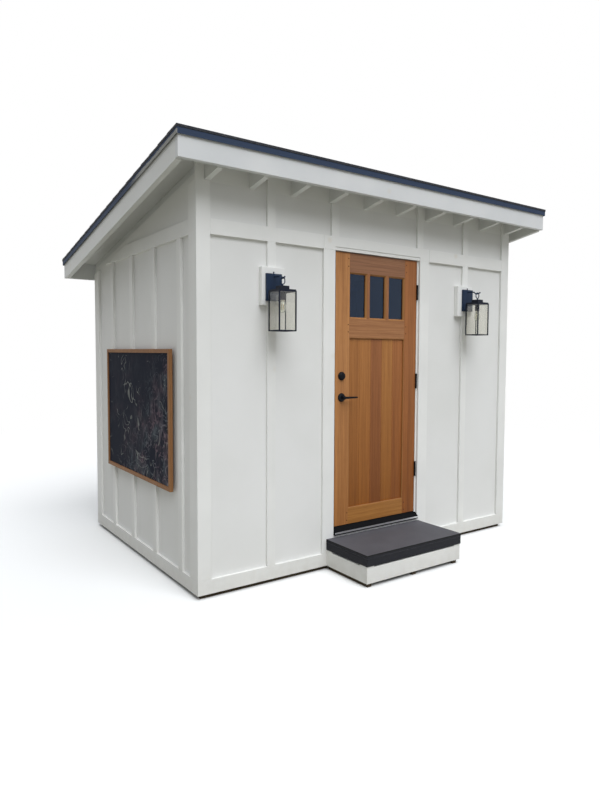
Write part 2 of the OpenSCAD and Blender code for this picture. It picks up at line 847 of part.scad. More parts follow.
module hinge_frame_leaves()
    color("#1b1b1c")
        for (z = hinge_zs) {
            hinge_leaf(z, 1);
            translate([hinge_x, hinge_y, door_z + z - hinge_h / 2]) {
                cylinder(r = hinge_pin_r, h = hinge_h);
                for (end = [-3, hinge_h - knuckle_gap / 2])
                    translate([0, 0, end])
                        cylinder(r = barrel_r, h = 3 + knuckle_gap / 2);
            }
        }

module hinge_door_leaves()
    color("#1b1b1c")
        difference() {
            for (z = hinge_zs)
                hinge_leaf(z, -1);
            translate([hinge_x, hinge_y, door_z])
                cylinder(r = hinge_pin_r + run_gap, h = door_h);
        }

// Stiles and rails with openings for the panes and the panel, and the bore of the lever's spindle
module door_leaf()
    color("#9a6a42")
        difference() {
            translate([0, 0, door_z])
                linear_extrude(door_h)
                    polygon([[leaf_x0, leaf_y0], [leaf_x1, leaf_y0], [leaf_x1, leaf_y1],
                        [leaf_x0 + latch_bevel, leaf_y1]]);
            for (x = lite_xs)
                leaf_opening(x, lite_w, lite_z0, lite_z1, glass_t, sticking_w);
            leaf_opening(leaf_x0 + stile_w, field_w, panel_z0, panel_z1, plank_t, panel_lip);
            translate([leaf_x0 + lock_inset, leaf_y0 - 1, door_z + lever_z])
                rotate([-90, 0, 0])
                    cylinder(r = 13, h = door_t + 2);
        }

// One opening: full size where the pane or panel sits, smaller by the moulding outside and inside
module leaf_opening(x, w, z0, z1, seat_t, lip) {
    mid = (leaf_y0 + leaf_y1) / 2;
    block([x + lip, leaf_y0 - 1, door_z + z0 + lip], [x + w - lip, leaf_y1 + 1, door_z + z1 - lip]);
    block([x, mid - seat_t / 2, door_z + z0], [x + w, mid + seat_t / 2, door_z + z1]);
}

// Boards with a vee at each joint, outside and inside
module door_panel() {
    mid = (leaf_y0 + leaf_y1) / 2;
    y0 = mid - plank_t / 2;
    y1 = mid + plank_t / 2;
    x0 = leaf_x0 + stile_w;
    pw = field_w / planks_n;
    out = [for (i = [0:planks_n - 1]) each [
        [x0 + i * pw + (i == 0 ? 0 : plank_vee), y0],
        [x0 + (i + 1) * pw - (i == planks_n - 1 ? 0 : plank_vee), y0],
        if (i < planks_n - 1) [x0 + (i + 1) * pw, y0 + plank_vee]]];
    back = [for (i = [planks_n - 1:-1:0]) each [
        [x0 + (i + 1) * pw - (i == planks_n - 1 ? 0 : plank_vee), y1],
        [x0 + i * pw + (i == 0 ? 0 : plank_vee), y1],
        if (i > 0) [x0 + i * pw, y1 - plank_vee]]];
    color("#a87347")
        translate([0, 0, door_z + panel_z0])
            linear_extrude(panel_z1 - panel_z0)
                polygon(concat(out, back));
}

module door_glass()
    color("#56646a")
        for (x = lite_xs) {
            mid = (leaf_y0 + leaf_y1) / 2;
            block([x, mid - glass_t / 2, door_z + lite_z0], [x + lite_w, mid + glass_t / 2, door_z + lite_z1]);
        }

// Domed key cylinder outside, thumb turn inside
module deadbolt()
    color("#1b1b1c")
        translate([leaf_x0 + lock_inset, 0, door_z + deadbolt_z]) {
            translate([0, leaf_y0, 0])
                rotate([90, 0, 0])
                    rotate_extrude()
                        polygon([[0, 0], [rose_r, 0], [rose_r, 3], [rose_r - 2, 8], [rose_r - 6, 14],
                            [rose_r - 13, 19], [14, 20], [13, 22], [0, 22]]);
            translate([0, leaf_y1, 0])
                rotate([-90, 0, 0])
                    rotate_extrude()
                        polygon([[0, 0], [rose_r, 0], [rose_r, 4], [rose_r - 3, 8], [0, 8]]);
            block([-5, leaf_y1 + 7, -20], [5, leaf_y1 + 26, 20]);
        }

neck_r = 10;
module lever_roses()
    color("#1b1b1c")
        translate([leaf_x0 + lock_inset, 0, door_z + lever_z])
            for (face = [[leaf_y0, 90], [leaf_y1, -90]])
                translate([0, face[0], 0])
                    rotate([face[1], 0, 0])
                        rotate_extrude()
                            polygon([[neck_r + run_gap, 0], [rose_r, 0], [rose_r, 3], [rose_r - 2, 7],
                                [rose_r - 7, 11], [neck_r + 5, 13], [neck_r + run_gap, 13]]);

// Both handles on one spindle: a turned knuckle that thins into a flat blade
module lever_handles() {
    neck_l = 36;
    blade_t = 9;
    knuckle = [[0, -2], [neck_r + 1, -2], [neck_r + 2.5, 2], [neck_r + 2.5, 9], [neck_r - 1, 13], [0, 14]];
    color("#1b1b1c")
        translate([leaf_x0 + lock_inset, 0, door_z + lever_z]) {
            translate([0, leaf_y0 - neck_l, 0])
                rotate([-90, 0, 0])
                    cylinder(r = neck_r, h = door_t + 2 * neck_l);
            for (face = [[leaf_y0 - neck_l, 90], [leaf_y1 + neck_l, -90]])
                translate([0, face[0], 0])
                    rotate([face[1], 0, 0])
                        rotate_extrude()
                            polygon(knuckle);
            for (y = [leaf_y0 - neck_l - blade_t / 2 - 5, leaf_y1 + neck_l + blade_t / 2 + 5])
                translate([0, y + blade_t / 2, 0])
                    rotate([90, 0, 0])
                        linear_extrude(blade_t)
                            polygon([[4, -8], [30, -8], [lever_l - 4, -6], [lever_l, -3], [lever_l, 3],
                                [lever_l - 4, 6], [30, 8], [4, 8]]);
        }
}

skids();
floor_joists();
rim_joists();
floor_boards();
front_wall();
front_wall_head();
side_walls();
back_wall();
front_siding();
door_bay_siding();
side_siding();
back_siding();
skirt_boards();
corner_boards();
belt_boards();
battens();
door_casings();
door_jambs();
door_head();
threshold();
sill_nose();
rafters();
frieze_blocks();
roof_boards();
shingles();
drip_edge();
fascia_boards();
rake_boards();
step_frame();
step_base();
step_cap();
lantern_blocks();
lantern_brackets();
lantern_cages();
lantern_glass();
lantern_bulbs();
chalkboard_frame();
chalkboard_panel();
hinge_frame_leaves();
door_leaf();
door_panel();
door_glass();
hinge_door_leaves();
deadbolt();
lever_roses();
lever_handles();
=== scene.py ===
"""Looks of the garden office pod: materials, the framed plank door, shingles, lantern bulbs and light.

Everything is in metres in the part's own frame. The origin is level with the skids' feet, under the
middle of the walls. X runs to the right along the front, Y to the back and Z up. MM turns millimetres
to metres.
"""

import math
from functools import partial

import bmesh
import bpy
from mathutils import Matrix, Vector


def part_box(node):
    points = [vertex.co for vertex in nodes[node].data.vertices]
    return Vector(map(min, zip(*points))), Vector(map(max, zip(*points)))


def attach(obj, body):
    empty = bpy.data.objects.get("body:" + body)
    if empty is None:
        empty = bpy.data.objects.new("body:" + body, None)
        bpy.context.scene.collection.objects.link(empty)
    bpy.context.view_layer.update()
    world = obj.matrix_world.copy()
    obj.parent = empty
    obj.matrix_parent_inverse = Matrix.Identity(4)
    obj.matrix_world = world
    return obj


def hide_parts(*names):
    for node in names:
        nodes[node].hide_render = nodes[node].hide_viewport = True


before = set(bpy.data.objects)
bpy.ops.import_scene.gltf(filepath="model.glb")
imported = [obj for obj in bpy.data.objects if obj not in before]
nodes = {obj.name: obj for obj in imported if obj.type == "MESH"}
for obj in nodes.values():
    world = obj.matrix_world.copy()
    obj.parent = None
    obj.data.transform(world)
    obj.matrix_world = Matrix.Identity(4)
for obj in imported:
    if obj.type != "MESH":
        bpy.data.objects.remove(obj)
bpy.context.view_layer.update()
bpy.ops.object.select_all(action="DESELECT")
MM = 0.001


# Camera, solved from the photograph's own straight edges

CAMERA_AT = Vector((-3.1822, -4.7082, 1.5970))
CAMERA_YAW = math.radians(-36.256)
CAMERA_PITCH = math.radians(-3.239)
CAMERA_ROLL = math.radians(-0.370)
FOCAL_PX = 622.0
CENTRE_PX = (325.88, 388.22)
IMAGE_PX = (600, 800)
SENSOR_MM = 36.0


def make_camera():
    """The camera starts level, looking along +Y, and is then rolled, pitched and yawed."""
    data = bpy.data.cameras.new("camera")
    data.sensor_width = SENSOR_MM
    data.lens = SENSOR_MM * FOCAL_PX / IMAGE_PX[1]
    data.shift_x = (IMAGE_PX[0] / 2 - CENTRE_PX[0]) / IMAGE_PX[1]
    data.shift_y = (CENTRE_PX[1] - IMAGE_PX[1] / 2) / IMAGE_PX[1]
    data.clip_start = 0.05
    data.clip_end = 200.0
    camera = bpy.data.objects.new("camera", data)
    camera.matrix_world = (
        Matrix.Translation(CAMERA_AT)
        @ Matrix.Rotation(CAMERA_YAW, 4, "Z")
        @ Matrix.Rotation(CAMERA_PITCH, 4, "X")
        @ Matrix.Rotation(CAMERA_ROLL, 4, "Y")
        @ Matrix.Rotation(math.radians(90), 4, "X")
    )
    bpy.context.scene.collection.objects.link(camera)
    bpy.context.scene.camera = camera


make_camera()


# Shader helpers

def linear(hex_colour):
    """An sRGB hex colour as the linear colour that shaders use."""
    parts = [int(hex_colour[i:i + 2], 16) / 255 for i in (1, 3, 5)]
    return tuple(c / 12.92 if c <= 0.04045 else ((c + 0.055) / 1.055) ** 2.4 for c in parts) + (1.0,)


def add_node(tree, kind, inputs=None, **settings):
    """Adds a shader node. Its inputs are numbers, hex colours or the sockets that are linked to it."""
    made = tree.nodes.new("ShaderNode" + kind)
    for name, value in settings.items():
        setattr(made, name, value)
    for name, value in (inputs or {}).items():
        if isinstance(value, bpy.types.NodeSocket):
            tree.links.new(value, made.inputs[name])
        elif isinstance(value, str):
            made.inputs[name].default_value = linear(value)
        else:
            made.inputs[name].default_value = value
    return made.outputs


def start_material(name):
    """An empty material, what adds nodes to it, and the Object coordinates that its patterns use."""
    material = bpy.data.materials.new(name)
    material.use_nodes = True
    material.node_tree.nodes.clear()
    add = partial(add_node, material.node_tree)
    return material, add, add("TexCoord")["Object"]


# The setting of a Mix node that mixes colours, and its sockets
COLOURS = {"data_type": "RGBA"}
SHARE, FIRST, SECOND, MIXED = 0, 6, 7, 2

# Directions that a grain or a brush stroke follows: how a pattern is squeezed along X, Y and Z
UP = (1.0, 1.0, 0.012)
LEVEL = (0.012, 0.012, 1.0)
ACROSS = (0.012, 1.0, 1.0)
BACKWARD = (1.0, 0.012, 1.0)

# How far the roof falls for each metre toward the back
ROOF_FALL = math.tan(math.radians(10.1))


def painted_wood(name, colour, direction, knots, tilt=0.0):
    """Two coats of satin white acrylic, brushed along a planed softwood board: it keeps faint stroke
    marks and a slow unevenness of gloss, knots show through it as pale tan spots, and splashed dirt
    greys the lowest 220 mm. colour holds two whites that drift into each other, and tilt turns the
    strokes about X, so that they follow a sloping board."""
    material, add, place = start_material(name)
    turned = add("VectorRotate", {"Vector": place, "Angle": tilt}, rotation_type="X_AXIS")["Vector"]
    squeezed = add("Mapping", {"Vector": turned, "Scale": direction})["Vector"]
    strokes = add("TexNoise", {"Vector": squeezed, "Scale": 1 / (2.5 * MM), "Detail": 3.0})["Fac"]
    clouds = add("TexNoise", {"Vector": place, "Scale": 1 / (450 * MM), "Detail": 4.0})["Fac"]
    tint = add("MapRange", {"Value": clouds, "From Min": 0.35, "From Max": 0.65})["Result"]
    white = add("Mix", {SHARE: tint, FIRST: colour[0], SECOND: colour[1]}, **COLOURS)[MIXED]
    knot_cells = add("TexVoronoi", {"Vector": place, "Scale": 1 / (310 * MM)})
    knot_spot = add("MapRange", {"Value": knot_cells["Distance"], "From Min": 0.03, "From Max": 0.09,
                                 "To Min": knots, "To Max": 0.0})["Result"]
    spotted = add("Mix", {SHARE: knot_spot, FIRST: white, SECOND: "#CDBB98"}, **COLOURS)[MIXED]
    height = add("SeparateXYZ", {"Vector": place})["Z"]
    splash = add("MapRange", {"Value": height, "From Min": 30 * MM, "From Max": 220 * MM,
                              "To Min": 0.35, "To Max": 0.0})["Result"]
    dirt_noise = add("TexNoise", {"Vector": place, "Scale": 1 / (60 * MM), "Detail": 6.0})["Fac"]
    dirt = add("Math", {0: splash, 1: dirt_noise}, operation="MULTIPLY")["Value"]
    soiled = add("Mix", {SHARE: dirt, FIRST: spotted, SECOND: "#A39A88"}, **COLOURS)[MIXED]
    gloss = add("MapRange", {"Value": clouds, "To Min": 0.42, "To Max": 0.6})["Result"]
    bump = add("Bump", {"Height": strokes, "Distance": 0.12 * MM, "Strength": 0.5})["Normal"]
    shader = add("BsdfPrincipled", {"Base Color": soiled, "Roughness": gloss, "Normal": bump})
    add("OutputMaterial", {"Surface": shader["BSDF"]})
    return material


def rolled_siding(name, colour):
    """Flat veneered sheets with rolled-on satin acrylic: a fine orange-peel stipple of about 4 mm, and
    the sheet's own long grain under it. colour holds two whites that drift into each other."""
    material, add, place = start_material(name)
    stipple = add("TexNoise", {"Vector": place, "Scale": 1 / (4 * MM)})["Fac"]
    squeezed = add("Mapping", {"Vector": place, "Scale": UP})["Vector"]
    grain = add("TexNoise", {"Vector": squeezed, "Scale": 1 / (9 * MM), "Detail": 5.0})["Fac"]
    relief = add("Math", {0: stipple, 1: grain}, operation="ADD")["Value"]
    clouds = add("TexNoise", {"Vector": place, "Scale": 1 / (700 * MM), "Detail": 4.0})["Fac"]
    tint = add("MapRange", {"Value": clouds, "From Min": 0.35, "From Max": 0.65})["Result"]
    white = add("Mix", {SHARE: tint, FIRST: colour[0], SECOND: colour[1]}, **COLOURS)[MIXED]
    gloss = add("MapRange", {"Value": clouds, "To Min": 0.45, "To Max": 0.62})["Result"]
    bump = add("Bump", {"Height": relief, "Distance": 0.25 * MM, "Strength": 0.4})["Normal"]
    shader = add("BsdfPrincipled", {"Base Color": white, "Roughness": gloss, "Normal": bump})
    add("OutputMaterial", {"Surface": shader["BSDF"]})
    return material


# Heights between which the door's wood goes from its darker, redder tone low down to its plain tone higher
# up
DARKEST_BELOW = 500 * MM
PLAIN_ABOVE = 1600 * MM


def figured_wood(name, light, dark, direction, shift=0.0, ring=5.0 * MM, roughness=0.45, low_darkening=0.0):
    """Wood that shows its figure, bare or clear-finished: growth rings some millimetres apart run along
    the piece and drift slowly, with fine dark pores between them. The finish has sunk in, so the surface
    reflects little. Boards given a share of darkening are redder and darker low down and keep their plain
    tone higher up. shift moves the figure, so that each board has its own."""
    material, add, place = start_material(name)
    squeezed = add("Mapping", {"Vector": place, "Scale": direction,
                               "Location": (shift, shift, shift)})["Vector"]
    drift = add("TexNoise", {"Vector": squeezed, "Scale": 1 / (60 * MM), "Detail": 3.0})["Fac"]
    rings = add("TexNoise", {"Vector": squeezed, "Scale": 1 / ring, "Detail": 5.0, "Roughness": 0.62,
                             "Distortion": 0.4})["Fac"]
    pores = add("TexNoise", {"Vector": squeezed, "Scale": 1 / (0.9 * MM)})["Fac"]
    bands = add("MapRange", {"Value": rings, "From Min": 0.32, "From Max": 0.68})["Result"]
    slow = add("MapRange", {"Value": drift, "From Min": 0.3, "From Max": 0.7})["Result"]
    share = add("Math", {0: bands, 1: 0.6}, operation="MULTIPLY")["Value"]
    share = add("Math", {0: slow, 1: 0.4, 2: share}, operation="MULTIPLY_ADD")["Value"]
    wood = add("Mix", {SHARE: share, FIRST: dark, SECOND: light}, **COLOURS)[MIXED]
    pore = add("MapRange", {"Value": pores, "From Min": 0.3, "From Max": 0.42,
                            "To Min": 0.35, "To Max": 0.0})["Result"]
    pored = add("Mix", {SHARE: pore, FIRST: wood, SECOND: "#4A2C16"}, **COLOURS)[MIXED]
    # Redder and darker low down, plain higher up
    height = add("SeparateXYZ", {"Vector": place})["Z"]
    height_share = add("MapRange", {"Value": height, "From Min": DARKEST_BELOW,
                                "From Max": PLAIN_ABOVE})["Result"]
    depth = add("Mix", {SHARE: height_share, FIRST: "#D3C193", SECOND: "#FFFFFF"}, **COLOURS)[MIXED]
    graded = add("Mix", {SHARE: low_darkening, FIRST: pored, SECOND: depth},
               data_type="RGBA", blend_type="MULTIPLY")[MIXED]
    bump = add("Bump", {"Height": rings, "Distance": 0.15 * MM, "Strength": 0.4})["Normal"]
    shader = add("BsdfPrincipled", {"Base Color": graded, "Roughness": roughness, "Normal": bump,
                                    "Specular IOR Level": 0.22})
    add("OutputMaterial", {"Surface": shader["BSDF"]})
    return material


def deck_paint(name, tread_edge):
    """Charcoal porch paint on planed boards: near black where it is clean, blackest on the thin edge
    of the tread, and grey on top, where fine dust and scuffs lie on it. tread_edge is the height at
    which the thin edge starts."""
    material, add, place = start_material(name)
    squeezed = add("Mapping", {"Vector": place, "Scale": ACROSS})["Vector"]
    strokes = add("TexNoise", {"Vector": squeezed, "Scale": 1 / (5 * MM), "Detail": 4.0})["Fac"]
    scuffs = add("TexNoise", {"Vector": place, "Scale": 1 / (200 * MM), "Detail": 5.0,
                              "Roughness": 0.55})["Fac"]
    facing = add("SeparateXYZ", {"Vector": add("NewGeometry")["Normal"]})["Z"]
    upward = add("MapRange", {"Value": facing, "From Min": 0.5, "From Max": 0.95})["Result"]
    patchy = add("MapRange", {"Value": scuffs, "From Min": 0.3, "From Max": 0.7, "To Min": 0.82})["Result"]
    dust = add("Math", {0: upward, 1: patchy}, operation="MULTIPLY")["Value"]
    height = add("SeparateXYZ", {"Vector": place})["Z"]
    lip = add("Math", {0: height, 1: tread_edge}, operation="GREATER_THAN")["Value"]
    side = add("Mix", {SHARE: lip, FIRST: "#1B1C21", SECOND: "#050507"}, **COLOURS)[MIXED]
    base = add("Mix", {SHARE: dust, FIRST: side, SECOND: "#56565B"}, **COLOURS)[MIXED]
    grit = add("TexNoise", {"Vector": place, "Scale": 1 / (2.5 * MM)})["Fac"]
    fleck = add("MapRange", {"Value": grit, "From Min": 0.66, "From Max": 0.78, "To Max": 0.3})["Result"]
    dusty = add("Mix", {SHARE: fleck, FIRST: base, SECOND: "#77736D"}, **COLOURS)[MIXED]
    bump = add("Bump", {"Height": strokes, "Distance": 0.15 * MM, "Strength": 0.4})["Normal"]
    shader = add("BsdfPrincipled", {"Base Color": dusty, "Roughness": 0.62, "Normal": bump,
                                    "Specular IOR Level": 0.2})
    add("OutputMaterial", {"Surface": shader["BSDF"]})
    return material


def powder_coat(name, colour, roughness=0.5, veil=0.08, gleam=0.2):
    """Polyester powder baked on metal: even colour with a fine pebbled skin and a veil of dust. The
    pebbles are drawn a little coarser than the real 0.3 mm, so that they show. veil is how much dust
    lies on it, and gleam how strongly its skin mirrors."""
    material, add, place = start_material(name)
    pebbles = add("TexNoise", {"Vector": place, "Scale": 1 / (0.8 * MM)})["Fac"]
    dust = add("TexNoise", {"Vector": place, "Scale": 1 / (50 * MM), "Detail": 4.0})["Fac"]
    dusty = add("MapRange", {"Value": dust, "From Min": 0.45, "From Max": 0.8, "To Max": veil})["Result"]
    skin = add("Mix", {SHARE: dusty, FIRST: colour, SECOND: "#5A5C60"}, **COLOURS)[MIXED]
    bump = add("Bump", {"Height": pebbles, "Distance": 0.05 * MM, "Strength": 0.5})["Normal"]
    shader = add("BsdfPrincipled", {"Base Color": skin, "Roughness": roughness, "Normal": bump,
                                    "Specular IOR Level": gleam})
    add("OutputMaterial", {"Surface": shader["BSDF"]})
    return material


def clear_glass(name, tint, smears, painted_reflection_tint="#FFFFFF"):
    """Clear soda-lime glass with faint wipe marks that only change its gloss. The last argument colours
    what the glass mirrors: on the window panes it and their blue-grey tint are a painted reflection of the
    sky."""
    material, add, place = start_material(name)
    wipes = add("TexNoise", {"Vector": place, "Scale": 1 / (80 * MM), "Detail": 5.0})["Fac"]
    gloss = add("MapRange", {"Value": wipes, "From Min": 0.45, "From Max": 0.8,
                             "To Max": smears})["Result"]
    shader = add("BsdfPrincipled", {"Base Color": tint, "Roughness": gloss, "IOR": 1.5,
                                    "Transmission Weight": 1.0, "Specular Tint": painted_reflection_tint})
    add("OutputMaterial", {"Surface": shader["BSDF"]})
    return material


def asphalt_shingle(name, dark, light, corner, pitch, run):
    """Mineral granules of 1 to 2 mm pressed in asphalt: blue-black with grey grains, very rough, and
    every tab a little lighter or darker than the next. The grains are drawn at 3 mm, so that they
    show. corner is where the first course starts, pitch is the distance between tabs side by side
    and run that between courses."""
    material, add, place = start_material(name)
    counted = add("VectorMath", {0: place, 1: corner}, operation="SUBTRACT")["Vector"]
    counts = add("SeparateXYZ", {"Vector": counted})
    course = add("Math", {0: counts["Y"], 1: 1 / run}, operation="MULTIPLY")["Value"]
    course = add("Math", {0: course}, operation="FLOOR")["Value"]
    shifted = add("Math", {0: course, 1: 2.0}, operation="MODULO")["Value"]
    shifted = add("Math", {0: shifted, 1: 0.5}, operation="MULTIPLY")["Value"]
    tab = add("Math", {0: counts["X"], 1: 1 / pitch, 2: shifted}, operation="MULTIPLY_ADD")["Value"]
    tab = add("Math", {0: tab}, operation="FLOOR")["Value"]
    which = add("CombineXYZ", {"X": tab, "Y": course})["Vector"]
    tone = add("TexWhiteNoise", {"Vector": which}, noise_dimensions="2D")["Value"]
    grains = add("TexVoronoi", {"Vector": place, "Scale": 1 / (3 * MM)})
    blend = add("TexNoise", {"Vector": place, "Scale": 1 / (130 * MM), "Detail": 5.0})["Fac"]
    patch = add("MapRange", {"Value": blend, "From Min": 0.35, "From Max": 0.65})["Result"]
    share = add("Mix", {"Factor": 0.35, "A": tone, "B": patch})["Result"]
    base = add("Mix", {SHARE: share, FIRST: dark, SECOND: light}, **COLOURS)[MIXED]
    grey = add("SeparateColor", {"Color": grains["Color"]})["Red"]
    share = add("MapRange", {"Value": grey, "From Min": 0.55, "From Max": 1.0, "To Max": 0.55})["Result"]
    stone = add("Mix", {SHARE: share, FIRST: base, SECOND: "#646468"}, **COLOURS)[MIXED]
    bump = add("Bump", {"Height": grains["Distance"], "Distance": 0.8 * MM, "Strength": 0.8})["Normal"]
    shader = add("BsdfPrincipled", {"Base Color": stone, "Roughness": 0.9, "Normal": bump})
    add("OutputMaterial", {"Surface": shader["BSDF"]})
    return material


def chalk_strokes(add, place, size, width, gaps):
    """Worn loops of chalk stroke: thin contour lines of a noise, with stretches of them rubbed out.
    size is how far apart the loops lie, and more gaps leave less of them."""
    bends = add("TexNoise", {"Vector": place, "Scale": 1 / size, "Detail": 1.0, "Distortion": 1.0})["Fac"]
    off = add("Math", {0: bends, 1: 0.5}, operation="SUBTRACT")["Value"]
    away = add("Math", {0: off}, operation="ABSOLUTE")["Value"]
    line = add("MapRange", {"Value": away, "To Min": 1.0, "To Max": 0.0, "From Max": width})["Result"]
    rubbed = add("TexNoise", {"Vector": place, "Scale": 1 / (1.3 * size), "Detail": 3.0})["Fac"]
    left = add("MapRange", {"Value": rubbed, "From Min": gaps, "From Max": gaps + 0.08})["Result"]
    return add("Math", {0: line, 1: left}, operation="MULTIPLY")["Value"]


# Toward the board's low right corner, as one stands before it, and the lean of the wipe marks
LOW_RIGHT = (0.0, -1.0, -1.0)
WIPE_LEAN = math.radians(25)


def blackboard(name):
    """Blackboard enamel, drawn on and wiped many times: blue-black, with chalk left in hazy patches of
    grey, blue and pink and in worn loops of stroke, thickest low down on the right."""
    material, add, place = start_material(name)
    wiped = add("Mapping", {"Vector": place, "Rotation": (WIPE_LEAN, 0.0, 0.0),
                            "Scale": (1.0, 1.0, 0.45)})["Vector"]
    wipes = add("TexNoise", {"Vector": wiped, "Scale": 1 / (50 * MM), "Detail": 5.0, "Roughness": 0.6,
                             "Distortion": 0.8})["Fac"]
    haze = add("MapRange", {"Value": wipes, "From Min": 0.4, "From Max": 0.7})["Result"]
    patches = add("TexNoise", {"Vector": place, "Scale": 1 / (300 * MM), "Distortion": 0.5})["Fac"]
    patch = add("MapRange", {"Value": patches, "From Min": 0.42, "From Max": 0.6})["Result"]
    corner = add("VectorMath", {0: place, 1: LOW_RIGHT}, operation="DOT_PRODUCT")["Value"]
    low_right = add("MapRange", {"Value": corner, "From Min": -1.25, "From Max": -0.4})["Result"]
    dusty = add("MapRange", {"Value": low_right, "To Min": 0.06, "To Max": 0.42})["Result"]
    dust = add("Math", {0: haze, 1: patch}, operation="MULTIPLY")["Value"]
    dust = add("Math", {0: dust, 1: dusty}, operation="MULTIPLY")["Value"]
    hue = add("TexNoise", {"Vector": place, "Scale": 1 / (170 * MM), "Detail": 1.0})
    tinted = add("MapRange", {"Value": hue["Fac"], "From Min": 0.4, "From Max": 0.6})["Result"]
    chalk = add("Mix", {SHARE: tinted, FIRST: "#98A1A8", SECOND: "#A8909A"}, **COLOURS)[MIXED]
    base = add("Mix", {SHARE: dust, FIRST: "#161A26", SECOND: chalk}, **COLOURS)[MIXED]
    broad = chalk_strokes(add, place, size=160 * MM, width=0.022, gaps=0.5)
    faded = add("Math", {0: broad, 1: 0.45}, operation="MULTIPLY")["Value"]
    drawn = add("Mix", {SHARE: faded, FIRST: base, SECOND: "#C6C8C2"}, **COLOURS)[MIXED]
    fine = chalk_strokes(add, place, size=70 * MM, width=0.05, gaps=0.4)
    thick = add("Math", {0: fine, 1: low_right}, operation="MULTIPLY")["Value"]
    thick = add("Math", {0: thick, 1: 0.5}, operation="MULTIPLY")["Value"]
    chalked = add("Mix", {SHARE: thick, FIRST: drawn, SECOND: chalk}, **COLOURS)[MIXED]
    grain = add("TexNoise", {"Vector": place, "Scale": 1 / (3 * MM)})["Fac"]
    bump = add("Bump", {"Height": grain, "Distance": 0.05 * MM, "Strength": 0.4})["Normal"]
    shader = add("BsdfPrincipled", {"Base Color": chalked, "Roughness": 0.7, "Normal": bump,
                                    "Specular IOR Level": 0.05})
    add("OutputMaterial", {"Surface": shader["BSDF"]})
    return material


def painted_over_enamel(name, colour, corner, smear_end):
    """Dark baked enamel of the drip edge. Along the upper part of the left rake a brush has slipped
    over its lower half and left a ragged band of the boards' white paint. corner is the top of the
    left rake's front end, and smear_end is how far down the rake the band runs."""
    # Height of the strip that stayed clean, how ragged the paint is, and the depth of the outer leg
    clean_h = 25 * MM
    raggedness = 22 * MM
    leg_depth = 4 * MM
    full_to = 0.75 * smear_end
    material, add, place = start_material(name)
    axes = add("SeparateXYZ", {"Vector": place})
    run = add("Math", {0: axes["Y"], 1: corner[1]}, operation="SUBTRACT")["Value"]
    level = add("Math", {0: run, 1: ROOF_FALL, 2: axes["Z"]}, operation="MULTIPLY_ADD")["Value"]
    ragged = add("TexNoise", {"Vector": place, "Scale": 1 / (40 * MM), "Detail": 5.0})["Fac"]
    edge = add("Math", {0: ragged, 1: -raggedness, 2: level}, operation="MULTIPLY_ADD")["Value"]
    low = add("Math", {0: edge, 1: corner[2] - clean_h}, operation="LESS_THAN")["Value"]
    near = add("MapRange", {"Value": run, "From Min": full_to, "From Max": smear_end,
                            "To Min": 1.0, "To Max": 0.0})["Result"]
    left = add("Math", {0: axes["X"], 1: corner[0] + leg_depth}, operation="LESS_THAN")["Value"]
    smear = add("Math", {0: low, 1: near}, operation="MULTIPLY")["Value"]
    smear = add("Math", {0: smear, 1: left}, operation="MULTIPLY")["Value"]
    skin = add("Mix", {SHARE: smear, FIRST: colour, SECOND: "#9C9C99"}, **COLOURS)[MIXED]
    bump = add("Bump", {"Height": ragged, "Distance": 0.1 * MM, "Strength": 0.3})["Normal"]
    shader = add("BsdfPrincipled", {"Base Color": skin, "Roughness": 0.6, "Normal": bump,
                                    "Specular IOR Level": 0.1})
    add("OutputMaterial", {"Surface": shader["BSDF"]})
    return material


def laid_floor(name):
    """Varnished floor boards laid along the room: a dark line at each joint, and every board a little
    lighter or darker than the next."""
    board_w = 140 * MM
    joint_share = 0.018
    material, add, place = start_material(name)
    across = add("SeparateXYZ", {"Vector": place})["Y"]
    count = add("Math", {0: across, 1: 1 / board_w}, operation="MULTIPLY")["Value"]
    within = add("Math", {0: count}, operation="FRACT")["Value"]
    board = add("Math", {0: count}, operation="FLOOR")["Value"]
    tone = add("TexWhiteNoise", {"W": board}, noise_dimensions="1D")["Value"]
    squeezed = add("Mapping", {"Vector": place, "Scale": ACROSS})["Vector"]
    rings = add("TexNoise", {"Vector": squeezed, "Scale": 1 / (7 * MM), "Detail": 5.0})["Fac"]
    share = add("Math", {0: tone, 1: 0.5, 2: rings}, operation="MULTIPLY_ADD")["Value"]
    share = add("MapRange", {"Value": share, "From Min": 0.3, "From Max": 1.1})["Result"]
    wood = add("Mix", {SHARE: share, FIRST: "#8A6540", SECOND: "#BC965F"}, **COLOURS)[MIXED]
    joint = add("Math", {0: within, 1: joint_share}, operation="LESS_THAN")["Value"]
    jointed = add("Mix", {SHARE: joint, FIRST: wood, SECOND: "#3A2817"}, **COLOURS)[MIXED]
    bump = add("Bump", {"Height": rings, "Distance": 0.1 * MM, "Strength": 0.3})["Normal"]
    shader = add("BsdfPrincipled", {"Base Color": jointed, "Roughness": 0.38, "Normal": bump})
    add("OutputMaterial", {"Surface": shader["BSDF"]})
    return material


def mill_aluminium(name):
    """Extruded aluminium with its mill finish: fine die lines along the length and a grey oxide bloom."""
    material, add, place = start_material(name)
    squeezed = add("Mapping", {"Vector": place, "Scale": ACROSS})["Vector"]
    lines = add("TexNoise", {"Vector": squeezed, "Scale": 1 / (0.7 * MM)})["Fac"]
    gloss = add("MapRange", {"Value": lines, "To Min": 0.3, "To Max": 0.5})["Result"]
    bump = add("Bump", {"Height": lines, "Distance": 0.05 * MM, "Strength": 0.4})["Normal"]
    shader = add("BsdfPrincipled", {"Base Color": "#C9CACC", "Metallic": 1.0, "Roughness": gloss,
                                    "Normal": bump})
    add("OutputMaterial", {"Surface": shader["BSDF"]})
    return material


